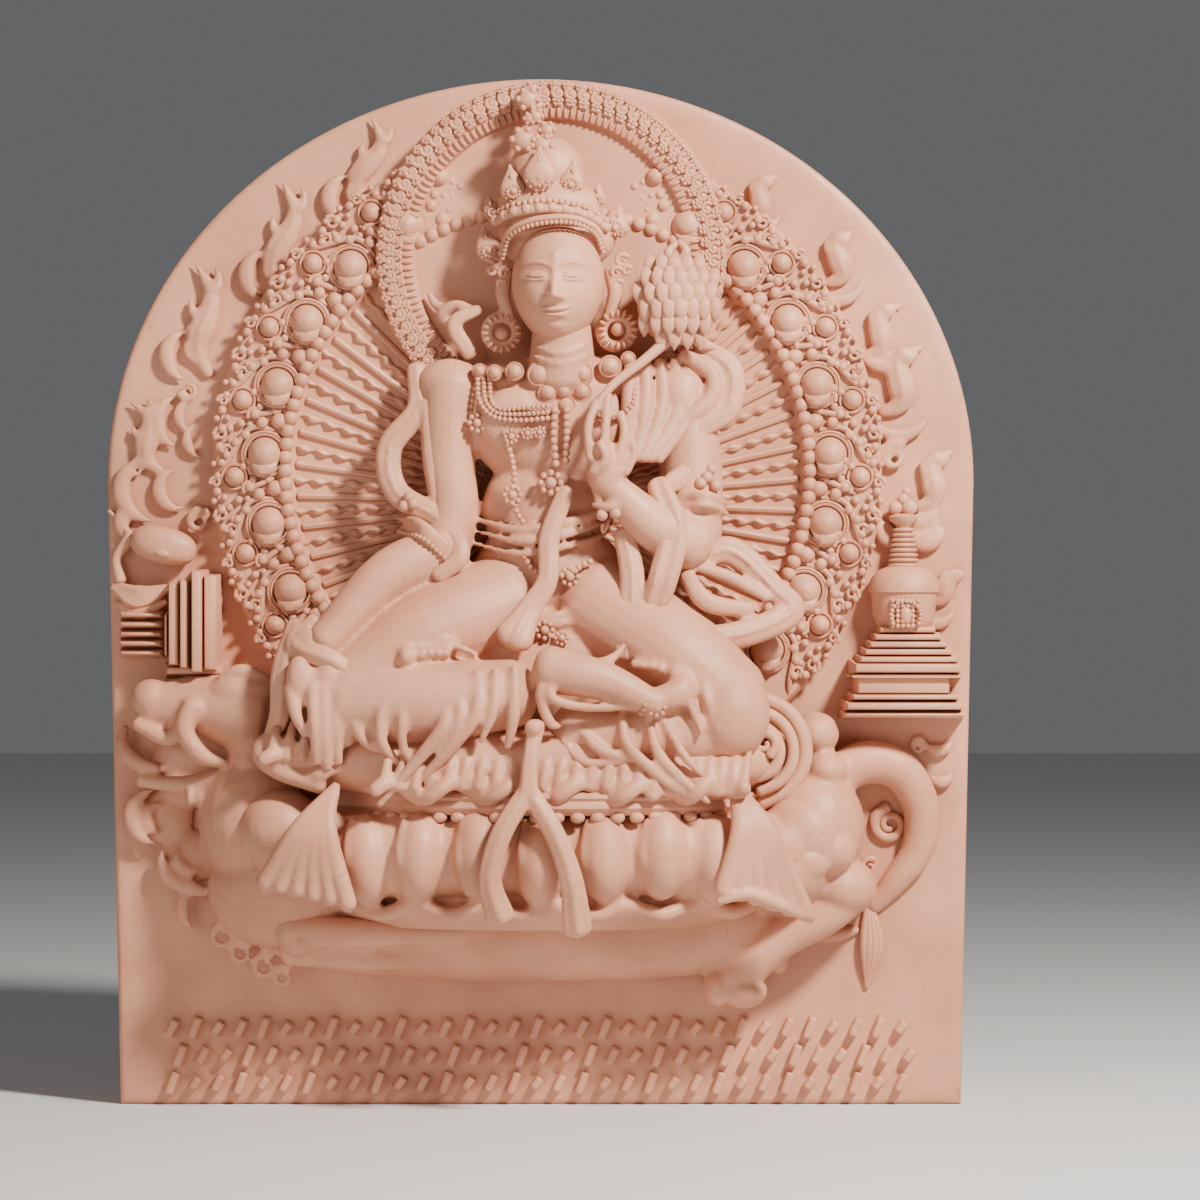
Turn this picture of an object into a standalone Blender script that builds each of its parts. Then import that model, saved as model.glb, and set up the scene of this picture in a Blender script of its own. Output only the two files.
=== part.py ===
"""Arched moulded clay plaque: a seated figure in high relief on a bolster carried by a maned beast.

Metres, z up. The carved face looks along -y and x runs to the viewer's right.
The origin is the middle of the flat foot, halfway through the slab.
"""

import math

import bmesh
import bpy
from mathutils import Matrix, Vector

# Driving sizes in metres
PLAQUE_HEIGHT = 0.150
PLAQUE_WIDTH = 0.1267
FOOT_WIDTH = 0.1229
SPRING_HEIGHT = 0.0911
SLAB_THICKNESS = 0.022

# The carving is laid out in steps, shares of the plaque's own height, with depth counted out from the face
STEPS_HIGH = 1037
STEP = PLAQUE_HEIGHT / STEPS_HIGH
FACE = -SLAB_THICKNESS / 2
ROOT = -14

# Round glory behind the body, in steps
GLORY_X = 7
GLORY_Z = 640
GLORY_RADIUS = 337
GLORY_DEPTH = 13
JEWEL_BAND_DEPTH = 20
BEAD_RING_RADIUS = 264
BEAD_RING_DEPTH = 27
BOSS_ORBIT = 285
BOSS_RADIUS = 19
BOSS_PITCH = 14.2
FIRST_BOSS = 46
BOSSES_A_SIDE = 7
SMALL_BOSS_ORBIT = 315
SMALL_BOSS_RADIUS = 11

# Halo behind the head, in steps
HALO_X = 11
HALO_Z = 856
HALO_RADIUS = 176
HALO_INNER_RADIUS = 139
HALO_DEPTH = 24
HALO_BAND_DEPTH = 33

# Bolster and seat, in steps
BOLSTER_HALF_WIDTH = 305
BOLSTER_Z = 258
BOLSTER_HALF_HEIGHT = 54
BOLSTER_DEPTH = 158
SEAT_HALF_WIDTH = 232
SEAT_DEPTH = 158

# Raised strokes at the foot, in steps
STROKE_DEPTH = 26
STROKE_WIDTH = 13

# Fineness of the fused skin, the share of its facets that stay, and how near a flat counts as on it
VOXEL = 0.00050
KEPT_SHARE = 0.0158
FLAT_REACH = 0.0003

shapes = []


def spot(x, z, depth):
    """Steps to metres: x across, z up, depth out from the face of the slab."""
    return Vector((x * STEP, FACE - depth * STEP, z * STEP))


def new_object(name, data):
    """Puts new data in the scene and lists it as one shape of the relief."""
    shape = bpy.data.objects.new(name, data)
    bpy.context.scene.collection.objects.link(shape)
    shapes.append(shape)
    return shape


def tube(name, path, radii, flat=1.0):
    """Rounded limb, fold or cord through (x, z, depth) points, flat being its depth over its width."""
    curve = bpy.data.curves.new(name, "CURVE")
    curve.dimensions = "3D"
    curve.bevel_depth = STEP
    curve.bevel_resolution = 2
    curve.use_fill_caps = True
    curve.resolution_u = 5
    spline = curve.splines.new("BEZIER")
    spline.bezier_points.add(len(path) - 1)
    for point, (x, z, depth), radius in zip(spline.bezier_points, path, radii):
        place = spot(x, z, depth)
        point.co = (place.x, place.y / flat, place.z)
        point.radius = radius
        point.handle_left_type = "AUTO"
        point.handle_right_type = "AUTO"
    new_object(name, curve).scale = (1, flat, 1)


def lump(name, middle, radii, turn=0.0, square=1.0):
    """Ellipsoid at (x, z, depth) with radii across, up and out; square under 1 makes its sides fuller."""
    mesh = bpy.data.meshes.new(name)
    ball = bmesh.new()
    bmesh.ops.create_uvsphere(ball, u_segments=24, v_segments=14, radius=1)
    for vertex in ball.verts:
        full = [math.copysign(abs(value) ** square, value) for value in vertex.co]
        vertex.co = (full[0] * radii[0] * STEP, full[1] * radii[2] * STEP, full[2] * radii[1] * STEP)
    ball.transform(Matrix.Rotation(math.radians(-turn), 4, "Y"))
    ball.transform(Matrix.Translation(spot(*middle)))
    ball.to_mesh(mesh)
    ball.free()
    new_object(name, mesh)


def block(name, left, right, low, high, depth, draft=3.0):
    """Box standing on the face of the slab, its front smaller than its root by the draft on each side."""
    mesh = bpy.data.meshes.new(name)
    box = bmesh.new()
    bmesh.ops.create_cube(box, size=1)
    for vertex in box.verts:
        front = vertex.co.y < 0
        lean = -draft if front else draft * 0.5
        x = (left + right) / 2 + math.copysign((right - left) / 2 + lean, vertex.co.x)
        z = (low + high) / 2 + math.copysign((high - low) / 2 + lean, vertex.co.z)
        vertex.co = spot(x, z, depth if front else ROOT)
    box.to_mesh(mesh)
    box.free()
    new_object(name, mesh)


def turned(name, profile, middle, upright=False):
    """Profile of (radius, height) points in steps spun about the depth axis, or about z when upright."""
    mesh = bpy.data.meshes.new(name)
    points = [(radius * STEP, 0, height * STEP) for radius, height in profile]
    mesh.from_pydata(points, [(i, i + 1) for i in range(len(points) - 1)], [])
    shape = new_object(name, mesh)
    screw = shape.modifiers.new("Screw", "SCREW")
    screw.steps = 96
    screw.render_steps = 96
    screw.use_merge_vertices = True
    screw.merge_threshold = 0.00001
    if not upright:
        shape.rotation_euler = (math.radians(90), 0, 0)
    shape.location = spot(*middle)


def plate(name, outline, depth, root=ROOT):
    """Flat raised leaf with this outline of (x, z) points in steps."""
    curve = bpy.data.curves.new(name, "CURVE")
    curve.dimensions = "2D"
    curve.fill_mode = "BOTH"
    curve.extrude = (depth - root) * STEP / 2
    spline = curve.splines.new("POLY")
    spline.points.add(len(outline) - 1)
    for point, (x, z) in zip(spline.points, outline):
        point.co = (x * STEP, z * STEP, 0, 1)
    spline.use_cyclic_u = True
    shape = new_object(name, curve)
    shape.rotation_euler = (math.radians(90), 0, 0)
    shape.location = (0, FACE - (depth + root) * STEP / 2, 0)


def stroke(name, path, width=STROKE_WIDTH, depth=STROKE_DEPTH):
    """Flat-topped bar of even width along a bent path of (x, z) points in steps."""
    points = [Vector(point) for point in path]
    near = []
    far = []
    for i, point in enumerate(points):
        along = (points[min(i + 1, len(points) - 1)] - points[max(i - 1, 0)]).normalized()
        across = Vector((-along.y, along.x)) * width / 2
        near.append(point + across)
        far.append(point - across)
    plate(name, near + far[::-1], depth)


def around(x, z, radius, degrees):
    """Point on a circle, the angle counted from the viewer's right and upwards."""
    turn = math.radians(degrees)
    return x + radius * math.cos(turn), z + radius * math.sin(turn)


def wave(start, end, depth, swings, reach, count):
    """Points from start to end that swing to each side by the reach."""
    points = []
    for i in range(count):
        share = i / (count - 1)
        sway = reach * math.sin(share * swings * math.pi)
        x = start[0] + share * (end[0] - start[0])
        z = start[1] + share * (end[1] - start[1]) + sway
        points.append((x, z, depth))
    return points


def carve_glory():
    """Round glory: rayed field, ring of beads, band of bosses."""
    turned(
        "glory",
        [
            (0, GLORY_DEPTH),
            (BEAD_RING_RADIUS - 10, GLORY_DEPTH),
            (BEAD_RING_RADIUS - 6, BEAD_RING_DEPTH - 3),
            (BEAD_RING_RADIUS, BEAD_RING_DEPTH),
            (BEAD_RING_RADIUS + 7, BEAD_RING_DEPTH - 4),
            (BEAD_RING_RADIUS + 10, JEWEL_BAND_DEPTH),
            (GLORY_RADIUS - 6, JEWEL_BAND_DEPTH),
            (GLORY_RADIUS, GLORY_DEPTH),
            (GLORY_RADIUS + 2, ROOT),
            (0, ROOT),
        ],
        (GLORY_X, GLORY_Z, 0),
    )
    for k in range(BOSSES_A_SIDE):
        for side in (-1, 1):
            degrees = FIRST_BOSS - k * BOSS_PITCH
            x, z = around(0, GLORY_Z, BOSS_ORBIT, degrees)
            x = GLORY_X + side * x
            lump("boss", (x, z, JEWEL_BAND_DEPTH), (BOSS_RADIUS, BOSS_RADIUS, 14))
            x, z = around(0, GLORY_Z, SMALL_BOSS_ORBIT, degrees - 4.5)
            x = GLORY_X + side * x
            lump("small_boss", (x, z, JEWEL_BAND_DEPTH), (SMALL_BOSS_RADIUS, SMALL_BOSS_RADIUS, 10))
    for k in range(42):
        degrees = -22 + k * 5.3
        near = around(GLORY_X, GLORY_Z - 30, 110, degrees)
        far = around(GLORY_X, GLORY_Z - 8, BEAD_RING_RADIUS - 14, degrees)
        tube("ray", [(*near, 12), (*far, 12)], [5, 6])


def carve_halo():
    """Disc behind the head with a raised band of rosettes."""
    turned(
        "halo",
        [
            (0, HALO_DEPTH),
            (HALO_INNER_RADIUS - 1, HALO_DEPTH),
            (HALO_INNER_RADIUS + 2, HALO_BAND_DEPTH - 3),
            (HALO_INNER_RADIUS + 12, HALO_BAND_DEPTH),
            (HALO_RADIUS - 6, HALO_BAND_DEPTH),
            (HALO_RADIUS, HALO_BAND_DEPTH - 5),
            (HALO_RADIUS + 1, ROOT),
            (0, ROOT),
        ],
        (HALO_X, HALO_Z, 0),
    )


def flame(name, root, tip, swing, size):
    """Tongue of fire: a double bend from its fat root to its pointed tip."""
    along = Vector((tip[0] - root[0], tip[1] - root[1]))
    across = Vector((-along.y, along.x)).normalized() * swing
    path = []
    radii = []
    for i in range(7):
        share = i / 6
        sway = math.sin(share * 2.2 * math.pi)
        x = root[0] + along.x * share + across.x * sway
        z = root[1] + along.y * share + across.y * sway
        path.append((x, z, 4))
        radii.append(size * (0.55 + 0.9 * share) if share < 0.4 else size * 1.45 * (1 - share) + 2)
    tube(name, path, radii, 0.62)


def crescent(name, middle, radius, start, sweep, size):
    """Curled leaf of fire: part of a circle, thick in the middle and thin at both ends."""
    path = []
    radii = []
    for i in range(7):
        share = i / 6
        path.append((*around(middle[0], middle[1], radius, start + share * sweep), 4))
        radii.append(2 + size * math.sin(math.pi * share))
    tube(name, path, radii, 0.7)


def carve_flames():
    """Fire along both shoulders of the slab."""
    flame("fire", (-180, 912), (-166, 998), 9, 17)
    flame("fire", (-262, 820), (-257, 936), 10, 18)
    flame("fire", (-335, 738), (-345, 853), 9, 18)
    flame("fire", (-385, 640), (-412, 713), 8, 16)
    flame("fire", (212, 893), (240, 940), -9, 15)
    flame("fire", (298, 830), (312, 884), -10, 17)
    flame("fire", (330, 752), (364, 812), -11, 16)
    flame("fire", (355, 690), (384, 770), -12, 20)
    flame("fire", (385, 596), (415, 664), -10, 17)
    flame("fire", (395, 505), (428, 540), -6, 13)
    crescent("leaf", (-188, 915), 22, 110, 130, 8)
    crescent("leaf", (-272, 828), 32, 120, 130, 9)
    crescent("leaf", (-352, 752), 30, 130, 130, 9)
    crescent("leaf", (-362, 690), 28, 120, 120, 8)
    crescent("leaf", (-396, 615), 28, 110, 150, 8)
    crescent("leaf", (-362, 622), 18, 100, 190, 7)
    crescent("leaf", (357, 655), 14, 120, 250, 6)
    crescent("leaf", (372, 600), 27, 190, 160, 7)
    crescent("leaf", (296, 838), 26, 170, 150, 6)


def carve_books():
    """Tied books, a scroll and a wish jewel at the viewer's left."""
    tube("rod", [(-415, 572, 6), (-428, 552, 8), (-424, 530, 8)], [7, 5, 6])
    lump("jewel", (-378, 565, 14), (34, 20, 18), -12)
    tube("ribbon", [(-430, 524, 8), (-404, 512, 14), (-376, 522, 16)], [6, 14, 5], 0.6)
    block("scroll", -424, -376, 450, 502, 34, 4)
    block("post", -376, -350, 440, 532, 52, 5)
    block("post", -352, -318, 434, 542, 58, 7)
    tube("stem", [(-352, 440, 10), (-350, 420, 14), (-338, 408, 16)], [10, 8, 6])


def carve_stupa():
    """Stepped base, round dome and ringed spire at the viewer's right."""
    block("base", 304, 425, 391, 419, 66, 4)
    block("neck", 316, 411, 415, 438, 58, 4)
    block("cornice", 312, 422, 433, 448, 64, 3)
    for k in range(4):
        inset = 5.5 * (k + 1)
        block("tread", 314 + inset, 423 - inset, 446 + 9 * k, 457 + 9 * k, 60 - 6 * k, 2)
    turned(
        "dome",
        [(0, 66), (17, 66), (30, 62), (35, 44), (33, 14), (24, 0), (0, 0)],
        (366, 480, 16),
        upright=True,
    )
    turned("spire", [(0, 70), (9, 70), (14, 0), (0, 0)], (366, 524, 12), upright=True)
    lump("finial", (366, 602, 12), (12, 10, 11))
    lump("finial_tip", (368, 616, 9), (6, 9, 7))


def carve_beast():
    """Maned beast: open-jawed head at the left, body in the shade of the bolster, rump and tail at right."""
    tube("muzzle", [(-388, 402, 30), (-345, 404, 36), (-290, 396, 40)], [26, 30, 46])
    lump("nose", (-390, 410, 34), (22, 22, 24))
    lump("brow", (-297, 414, 52), (40, 24, 26))
    lump("cheek", (-288, 358, 46), (28, 40, 30))
    tube("upper_lip", [(-402, 386, 44), (-370, 372, 56), (-348, 396, 60)], [9, 10, 12])
    tube("fang", [(-346, 402, 62), (-352, 376, 64), (-334, 354, 62), (-310, 346, 56)], [12, 10, 9, 4])
    tube("jaw", [(-402, 328, 26), (-350, 325, 38), (-300, 334, 44)], [8, 12, 20])
    tube("lip", [(-418, 384, 10), (-421, 364, 16), (-408, 348, 22), (-384, 340, 26)], [4, 9, 10, 6])
    for k in range(4):
        lump("tooth", (-350 + 10 * k, 312, 46), (5, 11, 8))
    lump("throat", (-335, 345, 8), (62, 50, 30))
    crescent("beard", (-385, 292), 26, 90, 190, 10)
    crescent("beard", (-352, 250), 30, 150, 150, 10)
    lump("beard", (-378, 292, 2), (26, 28, 14))
    lump("beard", (-348, 252, 2), (32, 24, 16))
    lump("neck", (-290, 290, 30), (56, 70, 62))
    lump("shoulder", (-255, 220, 30), (80, 62, 60))
    crescent("mane", (-290, 190), 44, 140, 120, 10)
    lump("body", (-10, 180, 10), (285, 56, 66), 0, 0.8)
    tube("fore_leg", [(-250, 180, 60), (-170, 178, 70), (-78, 178, 62)], [20, 15, 11])
    tube("fore_leg", [(-250, 160, 48), (-160, 152, 52), (-62, 152, 40)], [16, 13, 8])
    tube("far_leg", [(60, 170, 40), (100, 152, 44), (150, 166, 40)], [16, 14, 18])
    lump("rump", (272, 282, 40), (54, 62, 60))
    lump("rump", (300, 300, 30), (24, 26, 50))
    lump("rump", (240, 240, 50), (52, 44, 62))
    lump("thigh", (300, 222, 30), (38, 34, 48))
    tube("hind_leg", [(312, 222, 34), (286, 196, 44), (240, 170, 46), (196, 128, 42)], [26, 25, 22, 22])
    lump("paw", (196, 122, 34), (32, 22, 34))
    lump("spur", (238, 148, 20), (14, 16, 22))
    tail = [(285, 325, 24), (325, 346, 20), (362, 338, 16), (384, 300, 12), (380, 258, 8)]
    tube("tail", [*tail, (358, 226, 4), (336, 200, 2)], [22, 22, 21, 19, 17, 14, 10])
    tube("tail_tuft", [(332, 204, 2), (334, 160, 5), (329, 119, 2)], [7, 14, 3])
    crescent("curl", (353, 283), 17, 100, 230, 5)
    lump("cloud", (300, 172, 0), (26, 9, 12), 12)


def carve_bolster():
    """Thick bolster gathered in lobes, with a frill under it and the round seat on it."""
    lump(
        "bolster",
        (2, BOLSTER_Z, 0),
        (BOLSTER_HALF_WIDTH, BOLSTER_HALF_HEIGHT, BOLSTER_DEPTH),
        0,
        0.72,
    )
    for k in range(11):
        turn = math.radians(-75 + 15 * k)
        x = 2 + (BOLSTER_HALF_WIDTH - 34) * math.sin(turn)
        depth = (BOLSTER_DEPTH - 26) * math.cos(turn) ** 0.7
        lump("lobe", (x, BOLSTER_Z - 2, depth), (40, 44, 44))
    lump("corner", (-300, 285, 24), (24, 24, 34))
    lump("corner", (-258, 282, 70), (44, 42, 46))
    turned(
        "frill",
        [(0, 30), (SEAT_HALF_WIDTH - 30, 30), (SEAT_HALF_WIDTH - 10, 16), (SEAT_HALF_WIDTH - 40, 0), (0, 0)],
        (0, 182, 0),
        upright=True,
    )
    shapes[-1].scale = (1, 0.66, 1)
    turned(
        "seat",
        [(0, 22), (SEAT_HALF_WIDTH, 22), (SEAT_HALF_WIDTH + 5, 12), (SEAT_HALF_WIDTH, 0), (0, 0)],
        (14, 298, 0),
        upright=True,
    )
    shapes[-1].scale = (1, SEAT_DEPTH / SEAT_HALF_WIDTH, 1)
    crescent("seat_end", (222, 352), 30, -70, 200, 12)
    shapes[-1].location.y = -100 * STEP
    lump("seat_fill", (215, 340, 50), (52, 42, 66))


def carve_cloth():
    """Cloth falling over the bolster: two corner fans, the crossed sash and the wavy hems."""
    left_fan = [(-200, 326, 120), (-222, 280, 140), (-248, 234, 134)]
    for k in range(4):
        share = k / 3
        hem = (-268 + 80 * share, 226 - 14 * share, 128 + 20 * share)
        tube("fan", [left_fan[0], (-205 - 20 * (1 - share) * 1.3, 280, 146), hem], [6, 13, 15], 0.7)
    for k in range(4):
        share = k / 3
        hem = (184 + 80 * share, 222 - 22 * share, 148 - 26 * share)
        tube("fan", [(190, 330, 124), (194 + 26 * share, 280, 148 - 8 * share), hem], [6, 13, 15], 0.7)
    tube("sash_end", [(-10, 325, 166), (-38, 280, 176), (-47, 235, 174), (-32, 200, 164)], [10, 12, 12, 14], 0.6)
    tube("sash_end", [(-10, 325, 166), (18, 280, 176), (32, 235, 174), (38, 190, 162)], [10, 12, 12, 14], 0.6)
    tube("sash_knot", [(-2, 388, 158), (-8, 355, 166), (-10, 322, 168)], [10, 9, 11], 0.7)
    tube("hem", wave((-270, 345), (-150, 335), 112, 4, 9, 9), [12] * 9)
    tube("hem", wave((-160, 330), (120, 330), 150, 7, 9, 15), [12] * 15)
    tube("hem", wave((110, 325), (200, 330), 140, 3, 8, 7), [12] * 7)
    lump("skirt", (0, 348, 60), (238, 44, 92), 0, 0.8)
    tube("wrap", [(-262, 378, 96), (-274, 360, 98), (-258, 342, 104), (-215, 326, 116)], [10, 12, 12, 10])


def carve_legs():
    """Crossed legs under cloth, with the feet, knees and the larger folds."""
    lump("lap", (0, 440, 40), (190, 82, 66))
    tube("thigh", [(-35, 505, 50), (-115, 472, 84), (-186, 420, 100)], [54, 50, 44])
    tube("thigh", [(55, 505, 50), (130, 455, 84), (186, 408, 100)], [54, 54, 50])
    tube("shin", [(-185, 408, 104), (-110, 408, 122), (-25, 418, 126)], [42, 44, 36])
    tube("shin", [(186, 388, 96), (110, 376, 112), (30, 380, 118)], [46, 40, 30])
    lump("knee", (186, 398, 112), (42, 48, 42))
    tube("calf", [(10, 442, 142), (66, 430, 150), (116, 407, 152)], [24, 19, 13])
    tube("foot", [(112, 410, 150), (138, 420, 142), (136, 440, 130)], [13, 15, 12])
    tube("toes", [(98, 446, 128), (134, 438, 132)], [10, 12])
    tube("toes", [(-132, 454, 128), (-92, 458, 126)], [11, 8])
    folds = (
        [(-105, 436, 138), (-145, 412, 150), (-152, 372, 150), (-130, 342, 142)],
        [(-96, 430, 142), (-90, 395, 160), (-108, 366, 160), (-156, 308, 146)],
        [(-60, 440, 150), (-62, 402, 162), (-82, 372, 158), (-104, 342, 150)],
        [(-24, 444, 150), (-24, 402, 158), (-30, 366, 152)],
        [(82, 404, 140), (86, 370, 152), (118, 338, 152), (150, 316, 146)],
        [(106, 396, 146), (120, 356, 154), (164, 312, 146)],
        [(40, 384, 140), (60, 364, 150), (100, 352, 150)],
        [(152, 470, 112), (146, 420, 142), (160, 380, 148)],
        [(-150, 480, 112), (-105, 490, 112), (-55, 470, 108)],
    )
    for path in folds:
        tube("fold", path, [7, 10, 10, 8][: len(path)])


def carve_torso():
    """Chest, waist and hips with belt and hanging sash."""
    lump("hips", (8, 535, 40), (78, 60, 46))
    lump("waist", (4, 600, 44), (64, 62, 40))
    lump("chest", (15, 684, 46), (92, 66, 44))
    lump("shoulders", (25, 722, 38), (122, 36, 38))
    lump("breast", (-26, 690, 72), (36, 34, 18))
    tube("belt", [(-62, 590, 62), (-20, 580, 86), (30, 588, 86), (66, 600, 60)], [9, 9, 9, 8])
    tube("belt", [(-66, 540, 60), (-40, 512, 84), (6, 494, 92), (48, 504, 84), (74, 520, 62)], [6, 7, 7, 7, 6])
    tube("sash", [(26, 618, 92), (10, 572, 94), (8, 530, 98), (-10, 500, 104), (-24, 474, 112)], [10, 11, 11, 13, 20], 0.6)


def carve_arms():
    """Arm resting down with open hand at the left, arm raised to the chest at the right."""
    tube("upper_arm", [(-88, 724, 42), (-92, 660, 50), (-86, 600, 56), (-96, 562, 62)], [34, 28, 26, 28])
    tube("forearm", [(-92, 560, 62), (-152, 532, 86), (-212, 470, 112)], [28, 26, 19])
    lump("palm", (-220, 436, 124), (27, 30, 15))
    for k in range(4):
        x = -222 + 11 * k
        tube("finger", [(x, 424, 130), (x + 2, 385, 132), (x + 2, 352 + 4 * k, 126)], [8, 7, 5])
    tube("thumb", [(-244, 424, 124), (-238, 398, 128), (-230, 380, 126)], [8, 7, 5])
    tube("upper_arm", [(135, 714, 40), (150, 650, 48), (152, 575, 64)], [36, 34, 32])
    tube("forearm", [(150, 566, 74), (110, 586, 94), (76, 618, 102)], [30, 24, 17])
    lump("hand", (66, 642, 106), (21, 30, 15))
    for k in range(3):
        tube("finger", [(52 + 12 * k, 652, 112), (54 + 11 * k, 694, 104)], [8, 5])
    tube("arm_band", [(-146, 588, 50), (-118, 584, 88), (-88, 562, 92)], [7, 7, 6])
    tube("arm_band", [(138, 608, 76), (165, 612, 92), (188, 604, 60)], [7, 7, 6])


def carve_scarves():
    """Scarf over both shoulders with its loops at the elbows and the wrist."""
    left = [(-124, 742, 40), (-122, 700, 52), (-148, 662, 54), (-142, 618, 58), (-100, 590, 66)]
    tube("scarf", [*left, (-78, 556, 84), (-98, 534, 90)], [12, 13, 14, 14, 13, 11, 10], 0.7)
    tube("scarf", [(-112, 700, 56), (-108, 655, 60), (-104, 612, 62)], [9, 10, 9], 0.7)
    tube("wrist_scarf", [(-222, 490, 104), (-238, 466, 108), (-206, 452, 124), (-178, 434, 118)], [9, 12, 12, 9], 0.8)
    tube("wrist_scarf", [(-240, 480, 100), (-250, 440, 104), (-255, 400, 98), (-262, 376, 94)], [12, 14, 12, 10], 0.8)
    for k in range(4):
        x = 92 + 17 * k
        tube("drape", [(x, 746, 66 - 5 * k), (x - 2 + 2 * k, 700, 76 - 4 * k), (88 + 9 * k, 652, 84)], [9, 9, 8])
    right = [(160, 762, 46), (190, 738, 50), (186, 700, 54), (156, 676, 62), (160, 650, 62), (132, 624, 80)]
    tube("scarf", right, [12, 14, 14, 12, 12, 12], 0.8)
    tube("drape", [(118, 622, 92), (132, 580, 98), (120, 530, 104), (112, 500, 102)], [13, 15, 15, 12], 0.8)
    tube("drape", [(84, 576, 92), (92, 530, 96), (88, 480, 104), (88, 458, 110)], [12, 14, 14, 12], 0.8)
    loop = [(115, 498, 100), (152, 474, 96), (200, 476, 84), (250, 498, 60), (232, 522, 62), (190, 556, 64)]
    tube("loop", [*loop, (160, 550, 70)], [12, 14, 15, 15, 14, 15, 12], 0.8)
    tube("loop", [(146, 532, 84), (166, 506, 92), (208, 498, 78)], [9, 11, 9])
    tube("ear_ribbon", [(-70, 758, 46), (-84, 786, 48), (-60, 800, 48), (-108, 796, 34)], [10, 9, 7, 8], 0.7)


def carve_head():
    """Neck, head, ears and hair, with the tall crown."""
    tube("neck", [(22, 738, 60), (22, 782, 70)], [34, 30])
    lump("head", (18, 826, 74), (47, 59, 42))
    lump("jaw", (20, 796, 80), (32, 30, 32))
    lump("nose_ridge", (19, 818, 112), (7, 16, 6))
    for side in (-1, 1):
        lump("ear", (20 + side * 54, 812, 56), (9, 26, 16))
        lump("ear_ring", (20 + side * 57, 778, 52), (21, 21, 14))
    lump("hair", (16, 872, 58), (62, 34, 40))
    lump("crown", (10, 900, 60), (56, 30, 38))
    lump("topknot", (6, 936, 56), (40, 38, 34))
    for x, z, wide, high, out in (
        (0, 936, 16, 24, 92),
        (-27, 922, 12, 21, 84),
        (32, 928, 12, 20, 84),
        (-50, 864, 12, 20, 76),
        (74, 884, 13, 18, 72),
    ):
        lump("crown_leaf", (x, z, out - 8), (wide, high, 12))
    tube("finial", [(2, 965, 62), (-4, 990, 56), (-10, 1016, 44)], [18, 13, 8])


def carve_lotus():
    """Flower held beside the shoulder, with its stem down to the raised hand."""
    lump("flower", (138, 806, 66), (42, 42, 34))
    for row in range(3):
        for k in range(5):
            x = 110 + 14 * k
            z = 826 - 20 * row
            out = 92 - 0.012 * (x - 138) ** 2 - 4 * row
            lump("petal", (x, z, out), (9, 15, 7), 0)
    tube("stem", [(132, 772, 74), (104, 748, 84), (72, 724, 92), (54, 700, 100)], [7, 6, 6, 5])


def carve_inscription():
    """Row of raised strokes in groups, an ornament and not a script."""
    stroke("mark", [(-388, 96), (-362, 88), (-338, 62), (-315, 54), (-296, 62), (-270, 72)], 17)
    stroke("mark", [(-330, 92), (-318, 76), (-300, 84)], 12)
    for x in (-256, -234, 340, 363):
        stroke("bar", [(x, 8), (x, 96)], 12)
    for k in range(7):
        x = -184 + 83 * k
        stroke("beam", [(x - 28, 90), (x + 26, 90)], 15)
        stroke("post", [(x - 16, 90), (x - 20, 62), (x - 4, 46)], 12)
        stroke("post", [(x + 14, 90), (x + 12, 60), (x - 2, 46)], 12)
        if k % 2:
            stroke("tail", [(x - 4, 48), (x + 16, 40), (x + 4, 22)], 12)
        else:
            stroke("tail", [(x - 12, 112), (x + 8, 118), (x + 4, 92)], 11, STROKE_DEPTH - 6)
        stroke("dot", [(x + 42, 82), (x + 42, 98)], 13)


def clear_scene():
    """Empties the scene."""
    for old in list(bpy.data.objects):
        bpy.data.objects.remove(old, do_unlink=True)


def joined_shapes():
    """All carved shapes as one mesh, each closed on its own."""
    bpy.context.view_layer.update()
    graph = bpy.context.evaluated_depsgraph_get()
    whole = bmesh.new()
    for shape in shapes:
        mesh = bpy.data.meshes.new_from_object(shape.evaluated_get(graph))
        part = bmesh.new()
        part.from_mesh(mesh)
        part.transform(shape.matrix_world)
        bmesh.ops.remove_doubles(part, verts=part.verts, dist=1e-7)
        bmesh.ops.recalc_face_normals(part, faces=part.faces)
        for vertex in part.verts:
            if shape.name != "slab":
                vertex.co.y = min(vertex.co.y, FACE - ROOT * STEP)
        part.to_mesh(mesh)
        part.free()
        whole.from_mesh(mesh)
        bpy.data.meshes.remove(mesh)
    for shape in shapes:
        bpy.data.objects.remove(shape, do_unlink=True)
    relief = bpy.data.meshes.new("relief")
    whole.to_mesh(relief)
    whole.free()
    return relief


def largest_island(mesh):
    """Drops every piece of the mesh but the one with most vertices, so that no pocket is left inside."""
    whole = bmesh.new()
    whole.from_mesh(mesh)
    unseen = set(whole.verts)
    best = set()
    while unseen:
        island = set()
        edge_of_search = [unseen.pop()]
        while edge_of_search:
            vertex = edge_of_search.pop()
            island.add(vertex)
            for edge in vertex.link_edges:
                other = edge.other_vert(vertex)
                if other in unseen:
                    unseen.remove(other)
                    edge_of_search.append(other)
        if len(island) > len(best):
            best = island
    bmesh.ops.delete(whole, geom=[vertex for vertex in whole.verts if vertex not in best], context="VERTS")
    whole.to_mesh(mesh)
    whole.free()


def add_slab():
    """Arched slab: straight flaring sides, an elliptical head, a flat foot and a flat back."""
    outline = [(-FOOT_WIDTH / 2, 0), (FOOT_WIDTH / 2, 0)]
    for k in range(65):
        turn = math.pi * k / 64
        x = PLAQUE_WIDTH / 2 * math.cos(turn)
        z = SPRING_HEIGHT + (PLAQUE_HEIGHT - SPRING_HEIGHT) * math.sin(turn)
        outline.append((x, z))
    plate("slab", [(x / STEP, z / STEP) for x, z in outline], 0, -SLAB_THICKNESS / STEP)


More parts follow.
